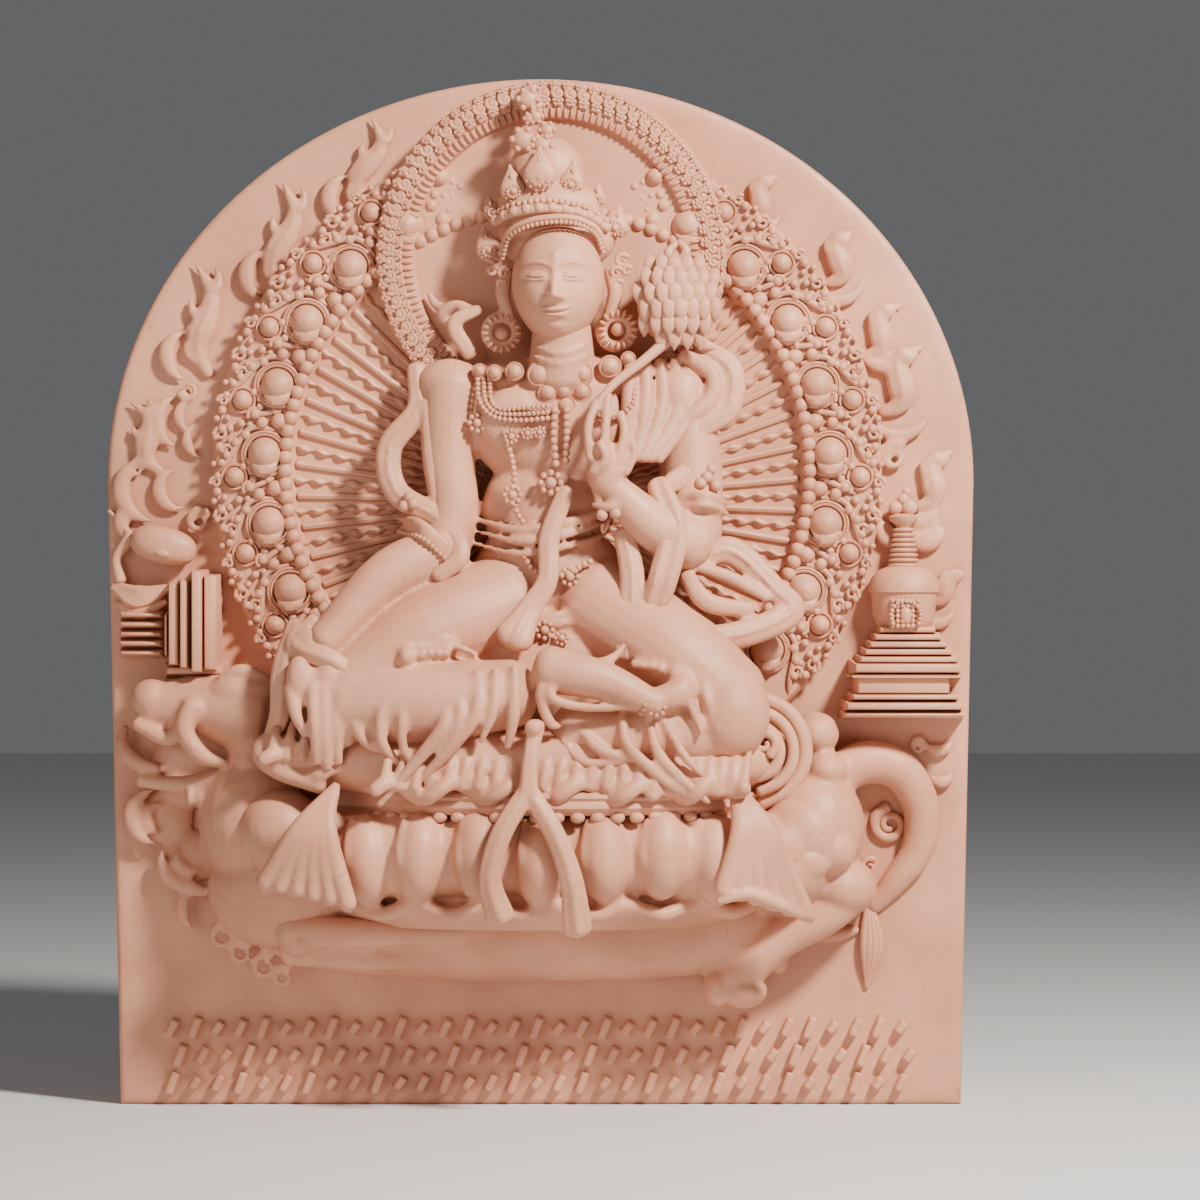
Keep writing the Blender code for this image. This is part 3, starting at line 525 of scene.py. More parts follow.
def make_stupa():
    """Stepped base, dome with a niche and a ringed spire, turned and blocked."""
    shapes = [
        block(302, 426, 391, 400, 62, 3),
        block(304, 424, 398, 410, 66, 3),
        block(310, 420, 408, 418, 62, 3),
        block(315, 412, 414, 438, 57, 3),
        block(309, 424, 432, 436, 62, 2),
        block(312, 422, 435, 449, 66, 3),
    ]
    for k in range(5):
        inset = 5.2 * (k + 1)
        shapes.append(block(313 + inset, 424 - inset, 446 + 7.4 * k, 455 + 7.4 * k, 62 - 5 * k, 2))
    shapes.append(lathe([(0.01, 64), (15, 64), (26, 60), (33, 52), (35.5, 42), (35.5, 38), (33, 36),
        (31.5, 14), (27, 3), (24, 0), (0.01, 0)], (366, 480, 16), True, 0.95, 56))
    rings = [(0.01, 0), (19, 0)]
    for k in range(12):
        r = 18.5 - 0.75 * k
        rings += [(r, 1 + 5.1 * k), (r + 0.8, 2.4 + 5.1 * k), (r, 3.9 + 5.1 * k),
            (r - 3.2, 5.0 + 5.1 * k)]
    rings += [(9, 64), (14, 68), (15, 72), (8, 75), (0.01, 75)]
    shapes.append(lathe(rings, (366, 522, 14), True, 0.95, 40))
    for x, z, r in ((358, 603, 7), (372, 603, 8), (366, 612, 6), (369, 619, 4.5)):
        shapes.append(lump((x, z, 13), (r, r, r * 0.8)))
    niche = [beads(arc((366, 494), 15, -30, 240, 50), 2.4)]
    niche.append(copies(KNOB, [(x, z, 49 - 0.02 * (x - 366) ** 2) for x in range(353, 382,
        5) for z in range(484, 510, 5)], 2.7))
    niche.append(lump((366, 495, 48), (6, 9, 5)))
    piece("stupa", shapes + niche)


def make_strokes():
    """Three rows of short shallow slanted strokes in the inscription's place. They spell nothing."""
    shapes = []
    for row, z in enumerate(STROKE_ROWS):
        for k in range(STROKES_IN_ROW):
            x = -372 + 23 * k + 8 * (row % 2)
            reach = 8 + 3 * math.sin(2.1 * k + row)
            shapes.append(bar([(x - 4, z - reach), (x + 4, z + reach)], 8, STROKE_DEPTH))
    piece("foot_strokes", shapes)


def make_beast():
    """Maned beast: jaws at the left, legs in the shade, rump, hind leg and looping tail at right."""
    head = [
        tube([(-388, 402, 28), (-345, 404, 34), (-290, 396, 38)], [26, 30, 44], 1, 20),
        lump((-390, 411, 34), (22, 20, 22)),
        lump((-297, 418, 50), (38, 20, 26)),
        lump((-288, 358, 42), (26, 40, 28)),
        tube([(-404, 386, 44), (-370, 371, 54), (-350, 396, 56)], [7, 8, 9]),
        tube([(-346, 404, 62), (-354, 380, 66), (-336, 354, 64), (-308, 345, 58)], [12, 10, 9, 3]),
        tube([(-402, 328, 26), (-350, 325, 40), (-300, 334, 46)], [7, 10, 18]),
        tube([(-418, 384, 12), (-421, 364, 18), (-408, 348, 24), (-384, 340, 28)], [3, 8, 9, 5]),
        lump((-335, 345, 6), (58, 46, 26)), lump((-296, 397, 68), (13, 13, 10)),
        tube(arc((-295, 395), 21, 160, -150, 64), [2, 4, 4, 4, 4, 3, 2], 1, 10),
        lump((-286, 372, 64), (13, 12, 10)),
        lump((-292, 350, 62), (11, 11, 9)),
        tube([(-318, 432, 60), (-296, 440, 64), (-268, 430, 58)], [5, 7, 4]),
    ]
    for k in range(4):
        head.append(lump((-350 + 10 * k, 313, 48), (5, 11, 8)))
    for centre, radius, start, sweep, size in (((-384, 292), 28, 95, 170, 8),
            ((-382, 290), 15, 95, 170, 6), ((-352, 252), 30, 165, 130, 8), ((-350, 254), 17, 165, 130, 6),
            ((-338, 236), 20, 180, 120, 6), ((-335, 200), 26, 120, 120, 6)):
        head.append(crescent(centre, radius, start, sweep, size, 16))
    head += [lump((-378, 292, 2), (28, 30, 12)), lump((-348, 252, 2), (34, 26, 14)),
        lump((-290, 290, 30), (54, 70, 58)), lump((-255, 220, 30), (80, 62, 56))]
    for x, z, r in ((-318, 172, 14), (-300, 156, 13), (-276, 142, 14), (-258, 132, 12)):
        head.append(spiral((x, z), r, 60, 1.2, 5, 30))
    piece("beast_head", head, 0.00042, 3)
    body = [
        lump((-10, 180, 10), (285, 54, 62), 0, 0.8, 24, 40),
        tube([(-250, 180, 62), (-170, 178, 74), (-78, 178, 64)], [20, 15, 11]),
        tube([(-250, 160, 50), (-160, 152, 56), (-62, 152, 42)], [16, 13, 8]),
        tube([(60, 170, 44), (100, 152, 50), (150, 166, 44)], [16, 14, 18]),
        lump((-240, 168, 66), (18, 14, 18)),
        lump((272, 282, 40), (54, 60, 58)),
        lump((300, 300, 34), (22, 24, 50)),
        lump((240, 240, 54), (50, 42, 60)),
        lump((285, 340, 44), (22, 20, 34)),
        lump((276, 376, 40), (24, 22, 30)),
        lump((300, 222, 30), (38, 32, 46)),
        lump((262, 250, 84), (26, 22, 24)),
        lump((290, 262, 72), (26, 24, 24)),
        tube([(312, 222, 34), (286, 198, 46), (240, 170, 48), (196, 130, 44)], [25, 23, 20, 20], 1, 18),
        lump((178, 122, 36), (15, 20, 26)),
        lump((204, 118, 36), (24, 18, 32)),
        lump((238, 148, 20), (13, 15, 20)),
        tube([(285, 325, 24), (325, 346, 20), (362, 338, 16), (384, 300, 12), (380, 258, 8),
            (358, 226, 4), (336, 200, 2)], [22, 22, 21, 19, 17, 14, 9], 0.9, 22),
        lump((300, 172, 0), (26, 8, 10), 12),
    ]
    piece("beast_body", body, 0.00045, 4)
    tuft = [tube([(330 + k, 204, 3), (327 + 5 * k, 162, 8 - abs(k - 1.5)), (329 + 0.5 * k, 119, 3)],
        [3, 5.2, 1.5], 1, 10) for k in range(4)]
    tuft += [spiral((353, 283), 18, 100, 1.5, 6, 3), spiral((332, 240), 9, 60, 1.1, 3.5, 2)]
    piece("tail_tuft", tuft)


def make_bolster():
    """Bolster gathered in lobes, each seam a valley between swellings, with its frill and the round seat."""
    shapes = [lump((2, 258, 0), (305, 54, 150), 0, 0.72, 28, 64)]
    for k in range(13):
        turn = math.radians(-78 + 13 * k)
        x = 2 + 272 * math.sin(turn)
        depth = 134 * max(math.cos(turn), 0) ** 0.7
        shapes.append(lump((x, 254 + (k % 3) * 3, depth), (22 + 6 * math.cos(turn), 46, 38),
            (k % 2) * 6 - 3))
        shapes.append(tube([(x - 15, 294, depth + 14), (x - 18, 258, depth + 25),
            (x - 10, 222, depth + 14)], [4, 6.5, 4], 1, 10))
    shapes += [lump((-300, 285, 24), (22, 22, 34)), lump((-258, 282, 70), (44, 40, 46)),
        lump((262, 275, 66), (44, 44, 40))]
    shapes.append(lathe([(0.01, 212), (205, 212), (225, 198), (190, 184), (0.01, 182)], (0, 0, 0), True,
        0.64))
    frill = [(x, 205 + 5 * math.sin(x / 11.0), 140 * math.sqrt(max(0.02,
        1 - (x / 235) ** 2))) for x in range(-210, 211, 15)]
    shapes.append(tube(frill, 8, 1, 12, per_span=3))
    piece("bolster", shapes, 0.00045, 4)
    seat = [lathe([(0.01, 322), (228, 322), (233, 319), (234, 316), (231, 313), (233, 310), (234, 306),
        (230, 302), (226, 299), (0.01, 299)], (14, 0, 0), True, 158 / 234, 160)]
    turn = np.radians(np.arange(-84, 85, 5))
    notch = np.column_stack([14 + 229 * np.sin(turn), np.full(len(turn), 297.0), 154 * np.cos(turn)])
    seat.append(copies(lump((0, 0, 0), (7.5, 5.5, 5), rows=8, cols=12), notch, 1.0))
    for radius, size, out in ((52, 8, 74), (40, 6, 84), (26, 6, 90)):
        seat.append(tube(arc((212, 360), radius, -80, 190, out), size, 0.9, 12))
    seat.append(lump((212, 352, 52), (50, 40, 36)))
    seat.append(spiral((222, 368), 13, -60, 1.2, 5, 96))
    piece("seat", seat)


def make_cloth():
    """Corner fans, crossed sash and the hems: folds are bands with soft ridges, melted together."""
    shapes = []
    for k in range(6):
        share = k / 5
        shapes.append(tube([(-200, 327, 120), (-206 - 30 * (1 - share), 285, 146),
            (-270 + 84 * share, 232 - 20 * share, 132 + 20 * share)], [5, 9, 9], 0.9, 12))
        shapes.append(tube([(190, 331, 124), (196 + 28 * share, 285, 150 - 8 * share),
            (180 + 84 * share, 226 - 26 * share, 152 - 30 * share)], [5, 9, 9], 0.9, 12))
    shapes.append(tube([(-272, 224, 128), (-240, 240, 138), (-214, 232, 146), (-184, 208, 150)],
        [5, 6, 6, 5]))
    shapes.append(tube([(176, 216, 152), (204, 222, 150), (232, 212, 140), (268, 196, 120)],
        [5, 6, 6, 5]))
    left_end = [(-10, 325, 168), (-36, 282, 178), (-47, 238, 176), (-38, 202, 164)]
    right_end = [(-10, 325, 168), (16, 282, 178), (32, 238, 176), (38, 190, 162)]
    for end in (left_end, right_end):
        shapes.append(tube(end, [10, 11, 12, 15], 0.55, 20, 0.25, 5))
    shapes.append(tube([(-2, 388, 158), (-8, 355, 168), (-10, 322, 170)], [9, 8, 10], 0.7, 14, 0.2, 3))
    shapes.append(lump((-5, 386, 166), (9, 8, 8)))
    piece("hanging_cloth", shapes, 0.00036, 2)
    skirt = [lump((0, 348, 60), (236, 42, 90), 0, 0.8, 24, 60)]
    for start, end, depth, count, reach in (((-272, 352), (-150, 330), 112, 4, 8),
            ((-160, 324), (120, 322), 150, 9, 8), ((110, 318), (205, 330), 142, 4, 7)):
        share = np.linspace(0, 1, 8 * count)
        x = start[0] + share * (end[0] - start[0])
        z = start[1] + share * (end[1] - start[1]) + reach * np.sin(share * count * np.pi)
        d = depth + 8 * np.cos(share * count * np.pi)
        skirt.append(tube(np.column_stack([x, z, d])[::2], 8, 0.9, 12, per_span=3))
        for k in range(count * 2):
            s = (k + 0.5) / (count * 2)
            a = start[0] + s * (end[0] - start[0])
            skirt.append(tube([(a, start[1] + 2, depth + 2), (a + 4, start[1] + 26, depth - 2),
                (a + 8, start[1] + 46, depth - 22)], [6, 5, 3], 1, 10))
    skirt.append(tube([(-262, 378, 96), (-276, 360, 98), (-258, 342, 104), (-215, 326, 116)],
        [8, 10, 10, 8]))
    skirt.append(tube([(-250, 374, 100), (-248, 360, 106), (-215, 346, 112)], [5, 6, 4]))
    piece("skirt_hem", skirt, 0.00042, 3)


def make_body():
    """Seated body under thin cloth: tapering sweeps with raised folds, melted into one skin."""
    b = [
        lump((0, 440, 40), (190, 80, 60), rows=20, cols=36),
        tube([(-35, 505, 50), (-115, 472, 84), (-186, 420, 98)], [52, 48, 42], 1, 24),
        tube([(55, 505, 50), (130, 455, 84), (184, 408, 98)], [52, 52, 48], 1, 24),
        tube([(-185, 408, 104), (-110, 408, 120), (-25, 418, 124)], [40, 42, 34], 1, 24),
        tube([(186, 388, 96), (110, 376, 110), (30, 380, 116)], [44, 38, 28], 1, 24),
        lump((186, 398, 110), (42, 48, 42), rows=20, cols=30),
        tube([(10, 442, 142), (66, 430, 150), (116, 407, 152)], [24, 19, 13], 1, 20),
        tube([(112, 410, 150), (138, 420, 142), (138, 438, 132)], [13, 15, 11], 1, 16),
        lump((8, 535, 40), (76, 60, 44), rows=20, cols=30),
        lump((4, 600, 44), (62, 62, 38), rows=20, cols=30),
        lump((15, 684, 46), (88, 64, 42), rows=20, cols=30),
        lump((25, 722, 38), (120, 34, 36), rows=20, cols=30),
        lump((-24, 688, 72), (38, 34, 17), rows=16, cols=24),
        lump((52, 690, 72), (34, 34, 14), rows=16, cols=24),
        tube([(-88, 724, 42), (-92, 660, 50), (-86, 600, 56), (-96, 562, 62)], [33, 27, 25, 27], 1, 22),
        tube([(-92, 560, 62), (-152, 532, 86), (-212, 470, 112)], [28, 26, 18], 1, 22),
        lump((-236, 434, 124), (13, 22, 12)),
        lump((-206, 434, 124), (14, 22, 12)),
        lump((-220, 424, 122), (24, 22, 12)),
        tube([(135, 714, 40), (150, 650, 48), (152, 575, 64)], [34, 32, 30], 1, 20),
        tube([(150, 566, 74), (110, 586, 94), (76, 618, 102)], [30, 24, 16], 1, 20),
        lump((-90, 724, 42), (35, 28, 30), rows=20, cols=30),
        lump((136, 718, 40), (37, 32, 32), rows=20, cols=30),
        lump((66, 640, 106), (20, 28, 14)), tube([(22, 734, 58), (22, 782, 68)], [35, 29], 1, 22),
    ]
    for x, top, low in ((-222, 398, 350), (-211, 398, 344), (-200, 402, 350), (-190, 404, 368)):
        b.append(tube([(x, 424, 130), (x + 2, top - 12, 134), (x + 3, low, 126)], [7.5, 6.4, 4.5], 1, 12))
    b.append(tube([(-244, 424, 124), (-239, 398, 130), (-230, 378, 126)], [8, 6.5, 4.5], 1, 12))
    for path, r in (([(50, 650, 114), (48, 680, 112), (56, 706, 104)], 5),
            ([(64, 652, 116), (66, 690, 110), (68, 712, 102)], 5),
            ([(78, 648, 114), (84, 676, 110), (80, 694, 106)], 5),
            ([(52, 636, 118), (66, 648, 122), (60, 664, 120)], 5.5),
            ([(86, 636, 112), (94, 656, 110), (88, 672, 108)], 4.6)):
        b.append(tube(path, r, 1, 12))
    for x, z, r in ((-130, 455, 10), (-115, 457, 6.5), (-107, 458, 6), (-99, 458, 5.6), (-91, 458, 5.2),
            (134, 437, 9.5), (119, 443, 6), (110, 445, 5.6), (102, 446, 5.2), (94, 447, 5)):
        b.append(lump((x, z, 132), (r, r * 1.1, r * 1.5)))
    folds = (
        ([(-104, 436, 138), (-146, 414, 150), (-154, 374, 150), (-130, 342, 142)], 6),
        ([(-96, 430, 142), (-90, 395, 160), (-108, 366, 160), (-156, 310, 146)], 7),
        ([(-84, 436, 148), (-76, 398, 162), (-92, 360, 158), (-128, 322, 146)], 6),
        ([(-60, 440, 150), (-60, 402, 162), (-80, 372, 158), (-104, 342, 150)], 7),
        ([(-42, 442, 152), (-44, 404, 162), (-56, 372, 158)], 6),
        ([(-24, 444, 150), (-24, 402, 158), (-30, 366, 152)], 7),
        ([(-120, 432, 140), (-132, 400, 156), (-132, 366, 154), (-118, 344, 146)], 5),
        ([(-176, 416, 128), (-180, 392, 138), (-168, 370, 140), (-146, 360, 142)], 6),
        ([(82, 404, 142), (86, 370, 154), (118, 338, 154), (150, 316, 146)], 6),
        ([(106, 396, 148), (120, 356, 156), (166, 312, 148)], 6),
        ([(122, 392, 146), (142, 358, 152), (160, 338, 148)], 5),
        ([(40, 384, 142), (60, 364, 152), (100, 352, 150)], 6),
        ([(22, 372, 140), (44, 352, 150), (84, 350, 150)], 5),
        ([(152, 470, 112), (146, 420, 144), (160, 380, 150)], 5),
        ([(166, 468, 112), (162, 424, 142), (176, 384, 148)], 4.5),
        ([(182, 464, 110), (180, 428, 138), (190, 396, 144)], 4.5),
        ([(-150, 480, 112), (-105, 490, 112), (-55, 470, 108)], 6),
        ([(-128, 500, 100), (-90, 510, 100), (-48, 486, 100)], 5),
        ([(-140, 462, 124), (-100, 470, 126), (-60, 456, 128)], 5),
        ([(12, 440, 154), (2, 420, 158), (10, 392, 154), (20, 386, 150)], 6),
        ([(18, 436, 158), (12, 416, 162), (40, 406, 160), (92, 404, 156)], 5),
        ([(38, 446, 150), (70, 452, 142), (84, 466, 134)], 5),
        ([(-62, 590, 66), (-20, 580, 86), (30, 588, 86), (66, 600, 62)], 5),
        ([(-60, 578, 66), (-20, 568, 88), (30, 576, 88), (66, 588, 62)], 4),
        ([(-64, 566, 64), (-20, 556, 86), (30, 564, 86), (66, 576, 60)], 4),
        ([(-68, 542, 62), (-54, 520, 78), (-30, 504, 88), (6, 494, 92), (36, 500, 88), (58, 512, 78),
            (74, 524, 62)], 5),
        ([(-66, 530, 64), (-50, 510, 80), (-24, 496, 90), (8, 486, 94), (40, 492, 88), (74, 512, 66)], 4),
        ([(-143, 592, 52), (-118, 586, 90), (-90, 564, 92)], 5),
        ([(-140, 582, 56), (-116, 576, 92), (-92, 556, 92)], 4),
        ([(138, 610, 78), (165, 614, 94), (188, 606, 62)], 5),
        ([(138, 600, 82), (165, 604, 96), (188, 596, 66)], 4),
        ([(52, 604, 106), (72, 602, 114), (88, 616, 108)], 5),
        ([(-5, 762, 88), (20, 754, 96), (48, 762, 88)], 2.2),
        ([(-7, 752, 86), (20, 744, 94), (50, 752, 86)], 2.2),
    )
    for path, r in folds:
        n = len(path)
        b.append(tube(path, [r * (0.6 if i in (0, n - 1) else 1) for i in range(n)], 0.9, 12))
    piece("figure", b, 0.00040, 3)


def make_scarves():
    """Sash, shoulder scarf, drapes and elbow loop, each a ridged band."""
    s = [
        tube([(26, 618, 92), (10, 572, 96), (8, 530, 102), (-10, 500, 108), (-24, 474, 116)],
            [9, 11, 11, 13, 20], 0.5, 24, 0.22, 5),
        tube([(-124, 742, 42), (-122, 700, 56), (-150, 662, 58), (-143, 618, 62), (-100, 590, 72),
            (-78, 556, 88), (-100, 534, 92)], [10, 12, 13, 13, 12, 10, 9], 0.6, 24, 0.22, 5),
        tube([(-112, 706, 60), (-108, 655, 66), (-102, 612, 68)], [8, 9, 8], 0.7, 18, 0.2, 3),
        tube([(-222, 490, 106), (-240, 466, 112), (-206, 452, 128), (-178, 434, 122)], [8, 11, 11, 8],
            0.7, 20, 0.2, 5),
        tube([(-240, 484, 102), (-252, 440, 106), (-256, 400, 102), (-264, 376, 98)], [11, 13, 11, 9],
            0.7, 20, 0.2, 5),
        tube([(-250, 462, 104), (-230, 474, 116), (-200, 470, 118)], [6, 7, 5], 0.8, 14),
        tube([(160, 764, 48), (190, 740, 54), (188, 702, 58), (158, 678, 66), (160, 650, 66),
            (132, 626, 84)], [10, 13, 13, 11, 11, 11], 0.7, 24, 0.2, 5),
        tube([(144, 756, 56), (172, 734, 62), (168, 708, 66), (136, 686, 74)], [7, 8, 8, 7], 0.8, 18, 0.2,
            3),
        tube([(118, 624, 94), (132, 580, 102), (122, 530, 108), (112, 500, 106)], [12, 15, 15, 12], 0.6,
            26, 0.25, 7),
        tube([(84, 576, 94), (92, 530, 100), (88, 480, 108), (86, 456, 114)], [11, 13, 14, 12], 0.6, 24,
            0.25, 5),
        tube([(115, 498, 102), (152, 474, 98), (200, 476, 88), (250, 498, 64), (232, 522, 66),
            (192, 558, 68), (160, 552, 74)], [11, 13, 14, 14, 13, 15, 11], 0.7, 24, 0.22, 5),
        tube([(146, 534, 86), (166, 508, 96), (208, 500, 82)], [8, 10, 8], 0.8, 18, 0.2, 3),
        tube([(150, 545, 84), (190, 532, 80), (226, 512, 74)], [5, 7, 5], 0.9, 12),
        tube([(-70, 756, 50), (-86, 786, 52), (-62, 800, 52)], [8, 8, 6], 0.7, 14, 0.2, 3),
        tube([(-66, 800, 48), (-84, 806, 44), (-98, 796, 38), (-90, 786, 38)], [4, 5, 7, 5], 0.9),
        tube([(-84, 800, 40), (-104, 806, 34), (-112, 818, 32)], [5, 5, 3], 0.9),
        tube([(-82, 744, 60), (-92, 714, 66), (-100, 696, 64)], [4, 4, 2], 1),
        tube([(-94, 744, 56), (-104, 714, 60), (-106, 682, 58)], [4, 4, 2], 1),
    ]
    for k in range(5):
        x = 90 + 15 * k
        s.append(tube([(x, 748, 70 - 5 * k), (x - 2 + 2 * k, 704, 80 - 4 * k), (86 + 8 * k, 650, 88)],
            [6, 7.5, 6], 0.9, 14))
    piece("scarves", s, 0.00034, 2)


def make_head():
    """Head: an ellipsoid m + R n(u, v) whose front is raised by smooth bumps and bands, on plain thirds."""
    rows, cols = 190, 200
    v = np.linspace(-np.pi / 2, np.pi / 2, rows)[:, None]
    u = np.linspace(0, 2 * np.pi, cols, endpoint=False)[None, :]
    x = 46 * np.cos(v) ** 0.9 * np.cos(u)
    z = 59 * np.sin(v) + 0 * u
    d = 43 * np.cos(v) ** 0.9 * np.sin(u)
    x = x * (1 - 0.16 * np.clip(-z / 59, 0, 1) ** 1.5)
    front = np.clip(d / 14, 0, 1)

    def swell(cx, cz, sx, sz, amount):
        """Smooth bump a exp(-dx2/2s2 - dz2/2t2)."""
        return amount * np.exp(-((x - cx) ** 2) / (2 * sx**2) - ((z - cz) ** 2) / (2 * sz**2))

    lift = swell(0, 4, 3.6, 11, 4) + swell(0, -10, 4.6, 7, 8) + swell(0, -15, 5.6, 3.6, 6)
    lift = lift * (1 / (1 + np.exp(-(z + 19.5) / 0.7)))
    for side in (-1, 1):
        lift = lift + swell(side * 6.8, -15.5, 2.8, 2.6, 4.0) + swell(side * 18, 8, 11, 6, -3.4)
        eye = (x - side * 18) / 10.5
        inside = np.exp(-(eye**4))
        lift = lift + inside * 4.2 * np.exp(-((z - 6 + 2.2 * eye**2) ** 2) / 22)
        lift = lift - inside * 1.8 * np.exp(-((z - 3.6 - 1.2 * eye**2) ** 2) / 1.1)
        lift = lift + inside * 0.9 * np.exp(-((z - 1.6 - 1.4 * eye**2) ** 2) / 1.3)
        lift = lift - inside * 0.8 * np.exp(-((z - 11.6 + 3.0 * eye**2) ** 2) / 1.0)
        brow = (x - side * 19) / 15
        lift = lift + np.exp(-(brow**4)) * 1.7 * np.exp(-((z - 19.5 + 4.5 * brow**2) ** 2) / 5)
        lift = lift + swell(side * 25, -14, 11, 12, 1.8)
    lift = lift + swell(0, -28, 15, 8, 3.0) + swell(0, -46, 11, 8, 4.0) - swell(0, -38.5, 9, 2.2,
        1.8) - swell(0, -22.5, 1.8, 3, 0.9)
    smile = np.exp(-((x / 13.5) ** 4))
    lift = lift + smile * 2.6 * np.exp(-((z + 27.6 - 0.012 * x**2) ** 2) / 4.5)
    lift = lift + np.exp(-((x / 10) ** 4)) * 3.0 * np.exp(-((z + 33.2 - 0.01 * x**2) ** 2) / 6)
    lift = lift - smile * 2.4 * np.exp(-((z + 30.2 - 0.012 * x**2) ** 2) / 0.8) + swell(0, 27, 2.4, 2.4,
        1.6)
    d = d + front * lift
    c, s = math.cos(math.radians(-4)), math.sin(math.radians(-4))
    points = np.stack([18 + x * c + d * s, 824 + z, 74 - x * s + d * c], -1).reshape(-1, 3)
    piece("head", [(points, grid_faces(rows, cols)[:, ::-1])])
    hair = [lump((16, 870, 52), (60, 34, 34), rows=18, cols=28),
        lump((10, 902, 56), (54, 30, 34), rows=18, cols=28),
        lump((6, 936, 52), (38, 38, 30), rows=18, cols=28)]
    for side in (-1, 1):
        x0 = 19 + side * 51
        hair.append(tube([(x0, 838, 58), (x0 + side * 5, 816, 60), (x0 - side * 2, 792, 58)], [7, 8, 6],
            0.9, 14))
        hair.append(tube(arc((x0 + side * 6, 778), 15, 90, 358, 56, 13), 6.5, 0.9, 12))
    piece("hair", hair, 0.00040, 2)
    trim = []
    line = [(-37, 850, 78), (-29, 870, 92), (-4, 881, 104), (30, 883, 105), (54, 874, 92), (63, 856, 78)]
    trim.append(beads(line, 2.6))
    trim.append(tube([(p[0] * 1.02, p[1] + 5, p[2] - 4) for p in line], 3.6, 1, 10))
    lower = [(-44, 886, 76), (-24, 894, 92), (10, 897, 98), (44, 892, 88), (66, 880, 70)]
    trim.append(tube(lower, 5, 1, 10))
    trim.append(beads([(p[0], p[1] + 8, p[2] - 2) for p in lower], 3.4))
    trim.append(copies(lump((0, 0, 0), (1, 1, 0.8)),
        along([(p[0], p[1] + 1, p[2] + 2) for p in lower], 13), 5.4))
    ring_angles = np.arange(12) * 30.0
    for x0, z0, wide, high, out, tilt in ((0, 936, 16, 24, 84, 0), (-27, 922, 12, 21, 74, 8),
            (32, 928, 12, 20, 74, -8), (-52, 864, 12, 20, 62, 14), (76, 886, 13, 18, 56, -14),
            (-48, 900, 8, 14, 58, 14), (56, 912, 9, 15, 62, -12)):
        share = np.linspace(0, 1, 9)
        c0, s0 = math.cos(math.radians(tilt)), math.sin(math.radians(tilt))
        spine = [(x0 - s0 * high * (2 * t - 1), z0 + c0 * high * (2 * t - 1),
            out + 3 * math.sin(math.pi * t)) for t in share]
        trim.append(tube(spine, wide * np.sin(np.pi * np.clip(1 - share, 0.02, 1) ** 1.35) + 1, 0.45, 20,
            per_span=4))
        low = (x0 + s0 * high * 0.3, z0 - c0 * high * 0.3)
        trim.append(copies(KNOB, ring_of(low, wide * 0.52, ring_angles, out + 8), 1.7))
        trim.append(copies(KNOB, ring_of(low, wide * 0.82, ring_angles + 15, out + 6), 1.5))
        trim.append(lump((*low, out + 8), (wide * 0.26, wide * 0.26, 3)))
        trim.append(lump((x0 - s0 * high * 0.4, z0 + c0 * high * 0.4, out + 6), (2.2, 3.6, 2.4)))
    knobs = [(x, 908 + 3 * math.sin(x), 84 - 0.014 * (x - 8) ** 2) for x in range(-40, 62, 8)]
    trim.append(copies(KNOB, knobs, 4.6))
    for x, z, r, out in ((-17, 968, 13, 66), (7, 978, 9, 64), (2, 962, 12, 66), (-10, 990, 7, 60),
            (-4, 992, 8, 60), (-12, 1010, 12, 50), (-2, 1004, 7, 50), (-8, 1022, 7, 44)):
        trim.append(lump((x, z, out), (r, r, r)))
        trim.append(copies(KNOB, ring_of((x, z), r * 0.8, ring_angles[::2], out + r * 0.6), r * 0.3))
    for side, x0, z0 in ((-1, -38, 776), (1, 78, 780)):
        turn = np.arange(16) * 22.5
        trim.append(copies(lump((0, 0, 0), (4.2, 2.2, 4.5), rows=6, cols=8),
            ring_of((x0, z0), 16.5, turn, 62), 1.0, turn))
        trim.append(lump((x0, z0, 58), (7, 7, 8)))
        for x, z, r in ((x0 - side * 2, 836, 6), (x0 + side * 4, 848, 7), (x0, 824, 5),
                (x0 + side * 9, 838, 5)):
            trim.append(spiral((x, z), r, 40, 1.1, 3, 64))
    piece("crown", trim)


